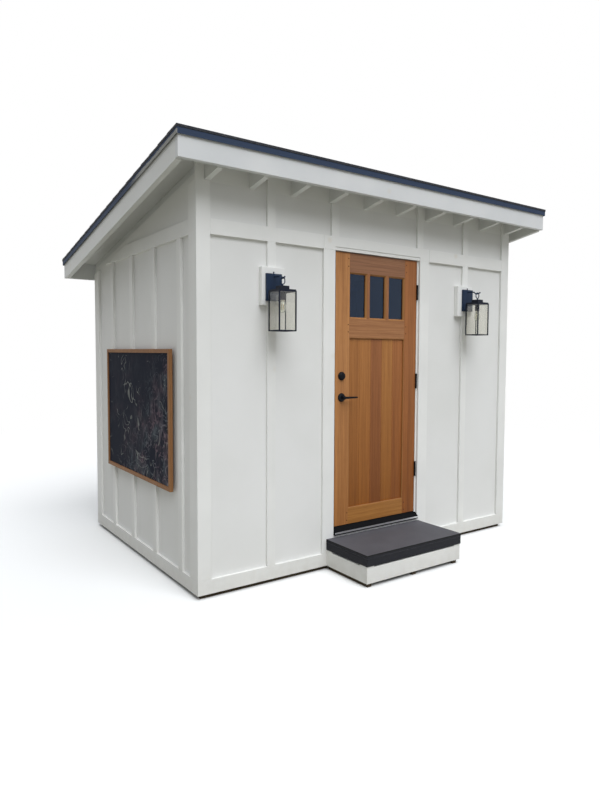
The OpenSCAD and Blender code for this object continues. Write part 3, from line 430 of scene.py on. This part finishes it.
def nickel_plated_brass(name):
    """Nickel plate on the rolled brass of a screw cap: silvery and polished, with duller stains."""
    material, add, place = start_material(name)
    stain = add("TexNoise", {"Vector": place, "Scale": 1 / (6 * MM), "Detail": 4.0})["Fac"]
    tone = add("Mix", {SHARE: stain, FIRST: "#BDBAB0", SECOND: "#94907F"}, **COLOURS)[MIXED]
    gloss = add("MapRange", {"Value": stain, "To Min": 0.2, "To Max": 0.45})["Result"]
    shader = add("BsdfPrincipled", {"Base Color": tone, "Metallic": 1.0, "Roughness": gloss})
    add("OutputMaterial", {"Surface": shader["BSDF"]})
    return material


def filament_coat(name):
    """Yellow phosphor in silicone over a row of tiny lamps: dull straw yellow, matte and beaded."""
    material, add, place = start_material(name)
    beads = add("TexWave", {"Vector": place, "Scale": 1 / (12 * MM)}, bands_direction="Z")["Fac"]
    tone = add("Mix", {SHARE: beads, FIRST: "#B79B58", SECOND: "#D2BE86"}, **COLOURS)[MIXED]
    bump = add("Bump", {"Height": beads, "Distance": 0.2 * MM, "Strength": 0.5})["Normal"]
    shader = add("BsdfPrincipled", {"Base Color": tone, "Roughness": 0.55, "Normal": bump})
    add("OutputMaterial", {"Surface": shader["BSDF"]})
    return material


# Materials on the CAD nodes

def corners(node_name):
    """The low and the high corner of a CAD node's box."""
    low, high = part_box(node_name)
    return Vector(low), Vector(high)


# Height of the thin dark edge along the top of the step
TREAD_EDGE = 10 * MM
# How far the slipped brush marks run down the left rake
SMEAR_END = 800 * MM
# The two whites of each painted surface
WALL_WHITE = ("#E2E2DF", "#E8E8E6")
TRIM_WHITE = ("#E6E6E3", "#EDEDEA")
# The eave boards and the fascia have the trim's white paint, drawn greyer as painted shade
EAVE_WHITE_PAINTED_SHADE = ("#D9DAD7", "#E0E1DF")
FASCIA_WHITE_PAINTED_SHADE = ("#D3D5D6", "#DCDDDD")
LINING_WHITE = ("#DDD9CE", "#E6E2D8")

siding_paint = rolled_siding("rolled_white_siding", WALL_WHITE)
lining_paint = rolled_siding("rolled_lining_paint", LINING_WHITE)
upright_trim = painted_wood("brushed_white_upright_boards", TRIM_WHITE, UP, knots=0.12)
level_trim = painted_wood("brushed_white_level_boards", TRIM_WHITE, LEVEL, knots=0.18)
eave_trim_painted_shade = painted_wood("brushed_white_rafters_painted_shade", EAVE_WHITE_PAINTED_SHADE, BACKWARD, knots=0.15,
                         tilt=math.atan(ROOF_FALL))
fascia_trim_painted_shade = painted_wood("brushed_white_fascia_painted_shade", FASCIA_WHITE_PAINTED_SHADE, LEVEL, knots=0.15)
framing = figured_wood("bare_softwood_framing", "#D2B484", "#B08D5C", LEVEL, ring=6 * MM, roughness=0.75)
floor_wood = laid_floor("varnished_floor_boards")
# Treated wood, drawn much darker than its own tone as painted shade under the skirt and the step
treated = figured_wood("treated_skids_painted_shade", "#574B3C", "#3E352A", ACROSS, roughness=0.85)
step_paint = deck_paint("charcoal_porch_paint", corners("step_cap")[1].z - TREAD_EDGE)
# Black powder coat on the lanterns and cages, with the sky's blue reflection painted into its colour
lantern_coat_painted_sky_blue = powder_coat("black_lantern_coat_painted_sky_blue", "#1A2B43")
cage_coat_painted_sky_blue = powder_coat("black_cage_coat_painted_sky_blue", "#0E1524")
door_steel = powder_coat("black_door_hardware_coat", "#0A0C12", veil=0.04, gleam=0.12)
drip_low, drip_high = corners("drip_edge")
rake_corner = (drip_low.x, drip_low.y, drip_high.z)
drip_enamel = painted_over_enamel("dark_drip_edge_enamel", "#38445A", rake_corner, SMEAR_END)
sill_black = powder_coat("black_sill_coat", "#08090C", roughness=0.7, veil=0.02, gleam=0.08)
nosing_metal = mill_aluminium("mill_finish_nosing")
# The panes' blue-grey tint and blue mirrored colour are a painted reflection of the sky
pane_glass = clear_glass("window_pane_glass", "#7C899E", smears=0.01, painted_reflection_tint="#B4D2FF")
lantern_pane_glass = clear_glass("lantern_pane_glass", "#F4F3EE", smears=0.006)
board_enamel = blackboard("blackboard_enamel")
frame_oil = figured_wood("oiled_board_frame", "#A0744C", "#7C5434", UP, roughness=0.6)

# The nodes that have each finish
FINISHES = (
    (treated, ("skids", "step_frame")),
    (framing, ("floor_joists", "rim_joists")),
    (floor_wood, ("floor_boards",)),
    (lining_paint, ("front_wall", "front_wall_head", "side_walls", "back_wall")),
    (siding_paint, ("front_siding", "door_bay_siding", "side_siding", "back_siding")),
    (upright_trim, ("corner_boards", "battens", "door_casings", "door_jambs", "lantern_blocks")),
    (level_trim, ("skirt_boards", "belt_boards", "door_head", "frieze_blocks", "step_base")),
    (eave_trim_painted_shade, ("rafters", "roof_boards", "rake_boards")),
    (fascia_trim_painted_shade, ("fascia_boards",)),
    (drip_enamel, ("drip_edge",)),
    (sill_black, ("threshold",)),
    (nosing_metal, ("sill_nose",)),
    (step_paint, ("step_cap",)),
    (lantern_coat_painted_sky_blue, ("lantern_brackets",)),
    (cage_coat_painted_sky_blue, ("lantern_cages",)),
    (lantern_pane_glass, ("lantern_glass",)),
    (frame_oil, ("chalkboard_frame",)),
    (board_enamel, ("chalkboard_panel",)),
    (pane_glass, ("door_glass",)),
    (door_steel, ("hinge_frame_leaves", "hinge_door_leaves", "deadbolt", "lever_roses", "lever_handles")),
)
for finish, node_names in FINISHES:
    for node_name in node_names:
        nodes[node_name].data.materials.clear()
        nodes[node_name].data.materials.append(finish)


# Eased edges on the sawn boards and the metal work: each width and the nodes that have it

EASED_NODES = {
    0.4 * MM: ("hinge_frame_leaves", "hinge_door_leaves"),
    0.5 * MM: ("lever_roses",),
    1.0 * MM: ("door_jambs",),
    1.2 * MM: ("chalkboard_frame",),
    1.5 * MM: ("corner_boards", "battens", "belt_boards", "skirt_boards", "door_casings", "step_base",
               "rafters"),
    2.0 * MM: ("step_cap", "lantern_blocks", "fascia_boards", "rake_boards"),
}
# Points nearer than this are one, faces that turn by less are one, and edges that turn by more are eased
SAME_POINT = 0.01 * MM
FLAT_TURN = math.radians(1)
SHARP_TURN = math.radians(50)


def ease_edges(node, width):
    """Rounds a CAD node's sharp edges: its loose triangles are merged and made flat faces first."""
    merge = node.modifiers.new("merge", "WELD")
    merge.merge_threshold = SAME_POINT
    flatten = node.modifiers.new("flatten", "DECIMATE")
    flatten.decimate_type = "DISSOLVE"
    flatten.angle_limit = FLAT_TURN
    ease = node.modifiers.new("ease", "BEVEL")
    ease.width = width
    ease.segments = 2
    ease.limit_method = "ANGLE"
    ease.angle_limit = SHARP_TURN


for eased_width, node_names in EASED_NODES.items():
    for node_name in node_names:
        ease_edges(nodes[node_name], eased_width)


# Ways of shaping a piece by hand

def start_box(name, low, high):
    """A new box between two corners, its place and size already in its mesh."""
    bpy.ops.object.select_all(action="DESELECT")
    low, high = Vector(low), Vector(high)
    bpy.ops.mesh.primitive_cube_add(size=1.0, location=(low + high) / 2, scale=high - low)
    bpy.ops.object.transform_apply()
    bpy.context.object.name = name
    return bpy.context.object


def pick(piece, kind, test):
    """In edit mode, selects the verts, edges or faces for which the test holds, and nothing else."""
    modes = {"verts": "VERT", "edges": "EDGE", "faces": "FACE"}
    bpy.ops.mesh.select_mode(type=modes[kind])
    bpy.ops.mesh.select_all(action="DESELECT")
    shape = bmesh.from_edit_mesh(piece.data)
    for item in getattr(shape, kind):
        item.select_set(test(item))
    shape.select_flush_mode()
    bmesh.update_edit_mesh(piece.data)


def edge_middle(edge):
    """The point halfway along an edge."""
    return (edge.verts[0].co + edge.verts[1].co) / 2


def edge_run(edge, axis):
    """How far an edge runs along an axis, which is 0, 1 or 2 for X, Y or Z."""
    return abs(edge.verts[0].co[axis] - edge.verts[1].co[axis])


def repeat(piece, steps):
    """Copies a piece by each step, every copy with its own mesh, and joins them all to the first."""
    bpy.ops.object.select_all(action="DESELECT")
    for step in steps:
        copy = piece.copy()
        copy.data = piece.data.copy()
        copy.location = step
        bpy.context.scene.collection.objects.link(copy)
        copy.select_set(True)
    bpy.ops.object.transform_apply(location=True, rotation=False, scale=False)
    piece.select_set(True)
    bpy.context.view_layer.objects.active = piece
    bpy.ops.object.join()


def domed_stick(name, sides, radius, length, middle, lean, dome):
    """A round stick, upright or leaning about X by an angle, with both ends rounded off."""
    bpy.ops.object.select_all(action="DESELECT")
    bpy.ops.mesh.primitive_cylinder_add(vertices=sides, radius=radius, depth=length, location=middle,
                                        rotation=(lean, 0.0, 0.0))
    bpy.ops.object.transform_apply()
    piece = bpy.context.object
    piece.name = name
    bpy.ops.object.mode_set(mode="EDIT")
    pick(piece, "faces", lambda face: len(face.verts) == sides)
    bpy.ops.mesh.bevel(offset=dome, segments=2)
    bpy.ops.object.mode_set(mode="OBJECT")
    return piece


def fit(piece, material, body, slot, *stands_for):
    """Gives a finished piece its material and the body it moves with, and hides the CAD nodes it stands
    for.
    """
    piece.data.materials.clear()
    piece.data.materials.append(material)
    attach(piece, body)
    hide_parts(*stands_for)


def planed_board(name, low, high, eased):
    """A planed board between two corners, all its edges eased."""
    piece = start_box(name, low, high)
    bpy.ops.object.mode_set(mode="EDIT")
    bpy.ops.mesh.select_all(action="SELECT")
    bpy.ops.mesh.bevel(offset=eased, segments=2)
    bpy.ops.object.mode_set(mode="OBJECT")
    return piece


# The door: a frame of stiles, rails and bars, with splayed mouldings round the panes and the panel

leaf_low, leaf_high = corners("door_leaf")
panes_low, panes_high = corners("door_glass")
panel_low, panel_high = corners("door_panel")
PANES = 3
BAR_W = 23 * MM
# Mouldings: how far each reaches in, how wide its flat is before the splay, and how deep it is sunk
PANE_LIP = 11 * MM
PANE_LIP_FLAT = 1 * MM
PANEL_LIP = 5 * MM
PANEL_LIP_FLAT = 3.5 * MM
LIP_SUNK = 0.8 * MM
# How far the latch edge of the leaf is planed back
LATCH_BEVEL = 2.5 * MM
# Growth rings of the planks, and the vee at their joints
PLANK_RING = 6 * MM
VEE = 2 * MM
# Eased edge of every planed board on the door
EASED = 0.7 * MM
# A face faces one way if this much of its normal lies that way
FACING = 0.9
pane_pitch = (panes_high.x - panes_low.x + BAR_W) / PANES
pane_w = pane_pitch - BAR_W

# Tones of the boards, as the clear finish shows them: light and dark wood of each, the way its grain runs,
# a shift that gives every board its own grain, and how far it is darkened low down. The planks of the
# panel are all upright and fully darkened low down.
BOARD_TONES = {
    "door_stile_left": ("#D0955E", "#8F5E39", UP, 0.0, 0.6),
    "door_stile_right": ("#B87847", "#794A2B", UP, 1.7, 1.0),
    # The top rail's greyer, pinker tone is painted shade and a painted reflection of the sky
    "door_rail_top": ("#A87A5A", "#714D3A", LEVEL, 3.1, 0.0),
    "door_rail_middle": ("#BF8A5E", "#835637", LEVEL, 4.3, 0.0),
    "door_rail_bottom": ("#B67E40", "#7C4E24", LEVEL, 5.9, 0.0),
}
PLANK_TONES = (("#B87D47", "#89572F", 10.0), ("#BE824A", "#8E5B32", 11.3), ("#A66C43", "#794A2C", 12.6),
               ("#BE844A", "#8F5C32", 13.9), ("#B77847", "#88542F", 15.2))

door_woods = {name: figured_wood(name + "_wood", light, dark, direction, shift, low_darkening=low_darkening)
              for name, (light, dark, direction, shift, low_darkening) in BOARD_TONES.items()}
bar_wood = figured_wood("door_bar_wood", "#AC774F", "#744931", UP, 6.6)
moulding_wood = figured_wood("door_moulding_wood", "#B27F4C", "#8E5E35", UP, 8.2)


def frame_board(name, x0, x1, z0, z1):
    """A stile, rail or bar of the leaf's full thickness. The bars share one wood."""
    piece = planed_board(name, (x0, leaf_low.y, z0), (x1, leaf_high.y, z1), EASED)
    fit(piece, door_woods.get(name, bar_wood), "door", "door_wood", "door_leaf")
    return piece


def make_frame():
    """Two stiles, three rails and the bars between the panes. The left stile's back edge is planed
    back, so that it clears the jamb when the door opens."""
    foot, head = leaf_low.z, leaf_high.z
    left, right = panes_low.x, panes_high.x
    stile = frame_board("door_stile_left", leaf_low.x, left, foot, head)
    bpy.ops.object.mode_set(mode="EDIT")
    pick(stile, "verts", lambda vert: vert.co.x < leaf_low.x + 2 * EASED
         and vert.co.y > leaf_high.y - 2 * EASED)
    bpy.ops.transform.translate(value=(LATCH_BEVEL, 0.0, 0.0))
    bpy.ops.object.mode_set(mode="OBJECT")
    frame_board("door_stile_right", right, leaf_high.x, foot, head)
    frame_board("door_rail_top", left, right, panes_high.z, head)
    frame_board("door_rail_middle", left, right, panel_high.z, panes_low.z)
    frame_board("door_rail_bottom", left, right, foot, panel_low.z)
    for i in range(1, PANES):
        x = left + i * pane_pitch
        frame_board("door_bar_" + str(i), x - BAR_W, x, panes_low.z, panes_high.z)


def moulding(name, low, high, seat, lip, flat):
    """A ring round an opening, from the leaf's face in to the seat of the pane or panel: flat at
    first, then splayed at 45 degrees. low and high are the opening's corners in X and Z."""
    for side, leaf_face, word in ((-1, leaf_low.y, "outside"), (1, leaf_high.y, "inside")):
        sunk = leaf_face - side * LIP_SUNK
        rest = (leaf_low.y + leaf_high.y) / 2 + side * seat / 2
        piece = start_box(name + "_" + word, (low[0], min(sunk, rest), low[1]),
                          (high[0], max(sunk, rest), high[1]))
        bpy.ops.object.mode_set(mode="EDIT")
        pick(piece, "faces", lambda face: face.normal.y * side > FACING)
        bpy.ops.mesh.inset(thickness=flat)
        bpy.ops.mesh.inset(thickness=lip - flat, depth=flat - lip)
        bpy.ops.mesh.delete(type="FACE")
        pick(piece, "faces", lambda face: face.normal.y * -side > FACING)
        bpy.ops.mesh.inset(thickness=lip)
        bpy.ops.mesh.delete(type="FACE")
        pick(piece, "edges", lambda edge: edge.is_boundary)
        bpy.ops.mesh.bridge_edge_loops()
        bpy.ops.mesh.select_all(action="SELECT")
        bpy.ops.mesh.normals_make_consistent()
        bpy.ops.object.mode_set(mode="OBJECT")
        fit(piece, moulding_wood, "door", "door_wood", "door_leaf")


def make_mouldings():
    """Rings round the three panes and round the panel, on both faces of the door."""
    glass_t = panes_high.y - panes_low.y
    for i in range(PANES):
        x = panes_low.x + i * pane_pitch
        moulding("door_pane_bead_" + str(i + 1), (x, panes_low.z), (x + pane_w, panes_high.z), glass_t,
                 PANE_LIP, PANE_LIP_FLAT)
    moulding("door_panel_bead", (panel_low.x, panel_low.z), (panel_high.x, panel_high.z),
             panel_high.y - panel_low.y, PANEL_LIP, PANEL_LIP_FLAT)


def make_planks():
    """The panel's boards, each of its own wood, with a vee between neighbours outside and inside."""
    width = (panel_high.x - panel_low.x) / len(PLANK_TONES)
    for i, (light, dark, shift) in enumerate(PLANK_TONES):
        x = panel_low.x + i * width
        piece = start_box("door_plank_" + str(i + 1), (x, panel_low.y, panel_low.z),
                          (x + width, panel_high.y, panel_high.z))
        bpy.ops.object.mode_set(mode="EDIT")
        pick(piece, "edges", lambda edge: edge_run(edge, 2) > VEE)
        bpy.ops.mesh.bevel(offset=VEE)
        bpy.ops.object.mode_set(mode="OBJECT")
        wood = figured_wood(piece.name + "_wood", light, dark, UP, shift, ring=PLANK_RING, low_darkening=1.0)
        fit(piece, wood, "door", "door_wood", "door_panel")


# Round pegs lock the rails' tenons in the stiles: two in each joint, seen on both faces
PEG_SIDES = 20
PEG_R = 5 * MM
PEG_PROUD = 0.3 * MM
PEG_FROM_LEFT = 118.5 * MM
PEG_FROM_RIGHT = 112.5 * MM
PEG_DOME = 1.2 * MM
PEG_HEIGHTS = [29 * MM, 87 * MM, 1450 * MM, 1504 * MM, 1934 * MM, 1991 * MM]
peg_wood = figured_wood("door_peg_end_grain", "#452A16", "#2C190C", UP)


def make_pegs():
    """One peg, domed at both ends, is copied to its twelve places."""
    xs = (leaf_low.x + PEG_FROM_LEFT, leaf_high.x - PEG_FROM_RIGHT)
    middle = (leaf_low.y + leaf_high.y) / 2
    length = leaf_high.y - leaf_low.y + 2 * PEG_PROUD
    peg = domed_stick("door_pegs", PEG_SIDES, PEG_R, length, (xs[0], middle, leaf_low.z + PEG_HEIGHTS[0]),
                      lean=math.radians(90), dome=PEG_DOME)
    places = [(x - xs[0], 0.0, z - PEG_HEIGHTS[0]) for x in xs for z in PEG_HEIGHTS]
    repeat(peg, places[1:])
    fit(peg, peg_wood, "door", "door_wood", "door_leaf")


# A strip of trim on the head jamb, nearly flush with the belt board that is cut out round it
STRIP_H = 24 * MM
STRIP_SET_BACK = 4 * MM
STRIP_CLEAR = 1 * MM


def make_head_strip():
    """It fills the notch in the belt board, as wide as the sill and just clear of the boards."""
    front = corners("belt_boards")[0].y + STRIP_SET_BACK
    sill_low, sill_high = corners("threshold")
    foot = corners("door_jambs")[1].z
    strip = planed_board("door_head_strip", (sill_low.x + STRIP_CLEAR, front, foot),
                         (sill_high.x - STRIP_CLEAR, leaf_low.y, foot + STRIP_H - STRIP_CLEAR), EASED)
    fit(strip, level_trim, "body", "trim_paint")


make_frame()
make_mouldings()
make_planks()
make_pegs()
make_head_strip()


# The lantern bulbs: a clear pear-shaped shell, a nickel-plated cap and four straw yellow filaments

BULB_L = 84 * MM
BULB_WALL = 0.8 * MM
# Steps of a turned piece, and the distance at which its points are one
SPUN_STEPS = 32
SPUN_SEAM = 0.02 * MM
# Radius and drop of the shell's outline from the holder down, as shares of its radius and length
BULB_OUTLINE = ((0.54, 0.0), (0.55, 0.1), (0.66, 0.2), (0.86, 0.35), (0.97, 0.48), (0.98, 0.6),
                (0.92, 0.74), (0.78, 0.86), (0.52, 0.955), (0.22, 0.995), (0.0, 1.0))
FILAMENT_SIDES = 12
FILAMENT_R = 1.4 * MM
FILAMENT_L = 40 * MM
FILAMENT_DOME = 0.6 * MM
# Radius of the ring on which the filaments stand, and the drop of their middle as a share of the length
FILAMENT_RING = 8 * MM
FILAMENT_DROP = 0.52
# Drop and radius of the cap's threads in such shares, from the middle of its top to that of its foot
CAP_BANDS = ((0.0, 0.0), (0.0, 0.57), (0.02, 0.6), (0.04, 0.57), (0.06, 0.6), (0.08, 0.57), (0.1, 0.53),
             (0.1, 0.0))

bulb_low, bulb_high = corners("lantern_bulbs")
bulb_glass = clear_glass("clear_bulb_glass", "#FBFCF6", smears=0.02)
cap_nickel = nickel_plated_brass("bulb_cap_nickel")
filament_straw = filament_coat("straw_filament_coat")


def spun(name, start, outline):
    """A piece turned about an upright axis through start, from an outline of radii and drops. The
    outline is drawn by extruding one point, to which a tiny plane is merged."""
    bpy.ops.object.select_all(action="DESELECT")
    bpy.ops.mesh.primitive_plane_add(size=1 * MM, location=start)
    piece = bpy.context.object
    piece.name = name
    bpy.ops.object.transform_apply()
    bpy.ops.object.mode_set(mode="EDIT")
    bpy.ops.mesh.select_mode(type="VERT")
    bpy.ops.mesh.select_all(action="SELECT")
    bpy.ops.mesh.merge(type="CENTER")
    bpy.ops.transform.translate(value=(outline[0][0], 0.0, -outline[0][1]))
    for (r0, d0), (r1, d1) in zip(outline, outline[1:]):
        bpy.ops.mesh.extrude_region_move(TRANSFORM_OT_translate={"value": (r1 - r0, 0.0, d0 - d1)})
    bpy.ops.mesh.select_all(action="SELECT")
    bpy.ops.mesh.spin(steps=SPUN_STEPS, angle=math.radians(360), center=start, axis=(0.0, 0.0, 1.0))
    bpy.ops.mesh.select_all(action="SELECT")
    bpy.ops.mesh.remove_doubles(threshold=SPUN_SEAM)
    bpy.ops.mesh.normals_make_consistent()
    bpy.ops.object.mode_set(mode="OBJECT")
    bpy.ops.object.shade_smooth()
    return piece


def make_bulbs():
    """Both lanterns take the same three pieces. Their places come from the box round the CAD bulbs."""
    radius = (bulb_high.y - bulb_low.y) / 2
    y = (bulb_high.y + bulb_low.y) / 2
    left = Vector((bulb_low.x + radius, y, bulb_low.z + BULB_L))
    right = Vector((bulb_high.x - radius, y, bulb_high.z))
    across = [right - left]
    shell = spun("bulb_shells", left, [(r * radius, d * BULB_L) for r, d in BULB_OUTLINE])
    wall = shell.modifiers.new("wall", "SOLIDIFY")
    wall.thickness = BULB_WALL
    wall.offset = -1.0
    bpy.ops.object.modifier_apply(modifier="wall")
    repeat(shell, across)
    fit(shell, bulb_glass, "body", "bulb_glass", "lantern_bulbs")
    cap = spun("bulb_caps", left, [(r * radius, d * BULB_L) for d, r in CAP_BANDS])
    repeat(cap, across)
    fit(cap, cap_nickel, "body", "bulb_glass", "lantern_bulbs")
    middle = left + Vector((FILAMENT_RING, 0.0, -FILAMENT_DROP * BULB_L))
    stick = domed_stick("bulb_filaments", FILAMENT_SIDES, FILAMENT_R, FILAMENT_L, middle, lean=0.0,
                        dome=FILAMENT_DOME)
    ring = [Vector((-FILAMENT_RING, FILAMENT_RING, 0.0)), Vector((-FILAMENT_RING, -FILAMENT_RING, 0.0)),
            Vector((-2 * FILAMENT_RING, 0.0, 0.0))]
    repeat(stick, ring)
    repeat(stick, across)
    fit(stick, filament_straw, "body", "bulb_glass", "lantern_bulbs")


make_bulbs()


# Shingles: a mat that carries overlapping courses of three-tab shingles

COURSES = 18
TAB_W = 299 * MM
TAB_GAP = 6 * MM
TAB_T = 2 * MM
TAB_EASED = 0.8 * MM
# Gap between a tab's lower end and the next course, and how far that end stands up over the mat
COURSE_GAP = 1 * MM
TAB_BUTT = 4 * MM
MAT_T = 18 * MM
MAT_EASED = 1.5 * MM
# How far the mat is held clear of the roof boards
MAT_LIFT = 2.4 * MM
# How far inside the roof's side edges the tabs are trimmed
TAB_TRIM = 0.3 * MM

roof_low, roof_high = corners("shingles")
course_run = (roof_high.y - roof_low.y) / COURSES
course_step = Vector((0.0, course_run, -course_run * ROOF_FALL))
tab_pitch = TAB_W + TAB_GAP
tab_stone = asphalt_shingle("blue_black_shingles", "#1F2533", "#39414F", roof_low, tab_pitch, course_run)
# The mat is a darker copy of the shingle stone: painted shade under the tabs and in their slots
mat_stone_painted_shade = asphalt_shingle("shingle_mat_painted_shade", "#0D0F15", "#141821", roof_low, tab_pitch, course_run)


def slope_down(piece, y, drop):
    """In edit mode, lowers what lies at the place y, and beyond it, by a drop."""
    pick(piece, "verts", lambda vert: vert.co.y > y)
    bpy.ops.transform.translate(value=(0.0, 0.0, -drop))


def make_shingles():
    """The mat and the tabs on it. The roof's highest point is the upper edge of the first course."""
    slant = 1 / math.cos(math.atan(ROOF_FALL))
    mat_top = roof_high.z
    board_top = mat_top - MAT_T * slant
    mat = start_box("shingle_mat", (roof_low.x, roof_low.y, board_top + MAT_LIFT),
                    (roof_high.x, roof_high.y, mat_top))
    bpy.ops.object.mode_set(mode="EDIT")
    slope_down(mat, 0.0, (roof_high.y - roof_low.y) * ROOF_FALL)
    bpy.ops.mesh.select_all(action="SELECT")
    bpy.ops.mesh.bevel(offset=MAT_EASED)
    bpy.ops.object.mode_set(mode="OBJECT")
    fit(mat, mat_stone_painted_shade, "body", "shingle", "shingles")

    tab = start_box("shingle_tabs", (roof_low.x, roof_low.y, mat_top - TAB_T),
                    (roof_low.x + TAB_W, roof_low.y + course_run - COURSE_GAP, mat_top))
    bpy.ops.object.mode_set(mode="EDIT")
    slope_down(tab, roof_low.y + course_run / 2, course_run * ROOF_FALL - TAB_BUTT * slant)
    low_end = roof_low.y + course_run - 2 * COURSE_GAP
    pick(tab, "edges", lambda edge: edge_middle(edge).y > low_end or edge_run(edge, 1) > course_run / 2)
    bpy.ops.mesh.bevel(offset=TAB_EASED)
    bpy.ops.object.mode_set(mode="OBJECT")
    across = math.ceil((roof_high.x - roof_low.x) / tab_pitch) + 1
    repeat(tab, [Vector((i * tab_pitch, 0.0, 0.0)) for i in range(1, across)])
    half_tab = Vector((tab_pitch / 2, 0.0, 0.0))
    repeat(tab, [course_step * i - half_tab * (i % 2) for i in range(1, COURSES)])
    bpy.ops.object.mode_set(mode="EDIT")
    for x, side in ((roof_low.x + TAB_TRIM, -1.0), (roof_high.x - TAB_TRIM, 1.0)):
        bpy.ops.mesh.select_all(action="SELECT")
        bpy.ops.mesh.bisect(plane_co=(x, 0.0, 0.0), plane_no=(side, 0.0, 0.0), use_fill=True,
                            clear_outer=True)
    bpy.ops.object.mode_set(mode="OBJECT")
    fit(tab, tab_stone, "body", "shingle", "shingles")


make_shingles()


# Stage and light

FLOOR_SIZE = 60.0
# Distances from the origin between which the floor fades to plain white
FADE_FROM = 2.5
FADE_TO = 9.0
PLAIN_WHITE = "#FFFFFF"


def plainly_seen(add):
    """1 on the rays for which floor and world look white: the camera's, and those in gloss and glass."""
    path = add("LightPath")
    seen = add("Math", {0: path["Is Camera Ray"], 1: path["Is Glossy Ray"]}, operation="MAXIMUM")["Value"]
    return add("Math", {0: seen, 1: path["Is Transmission Ray"]}, operation="MAXIMUM")["Value"]


def make_stage():
    """A pale floor. The camera sees it as near white, but it throws back less light, a little warm, and
    it fades to plain white further out."""
    bpy.ops.mesh.primitive_plane_add(size=FLOOR_SIZE)
    floor = bpy.context.object
    floor.name = "floor"
    material, add, place = start_material("pale_floor")
    seen = plainly_seen(add)
    colour = add("Mix", {SHARE: seen, FIRST: "#9C9A8E", SECOND: "#FAFAF8"}, **COLOURS)[MIXED]
    shader = add("BsdfDiffuse", {"Color": colour})
    away = add("VectorMath", {0: place}, operation="LENGTH")["Value"]
    far = add("MapRange", {"Value": away, "From Min": FADE_FROM, "From Max": FADE_TO})["Result"]
    fade = add("Math", {0: far, 1: seen}, operation="MULTIPLY")["Value"]
    white = add("Emission", {"Color": PLAIN_WHITE})
    either = add("MixShader", {0: fade, 1: shader["BSDF"], 2: white["Emission"]})["Shader"]
    add("OutputMaterial", {"Surface": either})
    floor.data.materials.append(material)


def make_world(low, high):
    """Soft light from all round: low is its strength at the horizon and high that overhead. The
    camera, gloss and glass see plain white instead."""
    world = bpy.data.worlds.new("soft_studio")
    world.use_nodes = True
    world.node_tree.nodes.clear()
    add = partial(add_node, world.node_tree)
    seen = plainly_seen(add)
    up = add("SeparateXYZ", {"Vector": add("TexCoord")["Generated"]})["Z"]
    level = add("MapRange", {"Value": up, "To Min": low, "To Max": high})["Result"]
    lit = add("Background", {"Color": "#F1F5FB", "Strength": level})["Background"]
    white = add("Background", {"Color": PLAIN_WHITE})["Background"]
    either = add("MixShader", {0: seen, 1: lit, 2: white})["Shader"]
    add("OutputWorld", {"Surface": either})
    bpy.context.scene.world = world


def make_lamp(name, toward, spread, strength):
    """A very wide soft light that comes from a direction; spread is its angle in degrees."""
    data = bpy.data.lights.new(name, "SUN")
    data.angle = math.radians(spread)
    data.energy = strength
    data.color = linear("#F9FBFF")[:3]
    lamp = bpy.data.objects.new(name, data)
    lamp.rotation_euler = Vector(toward).to_track_quat("Z", "Y").to_euler()
    bpy.context.scene.collection.objects.link(lamp)


make_stage()
make_world(low=0.15, high=0.74)
make_lamp("wide_soft_lamp", toward=(-0.11, -0.85, 1.15), spread=48.0, strength=2.56)

bpy.context.scene.view_settings.view_transform = "Standard"
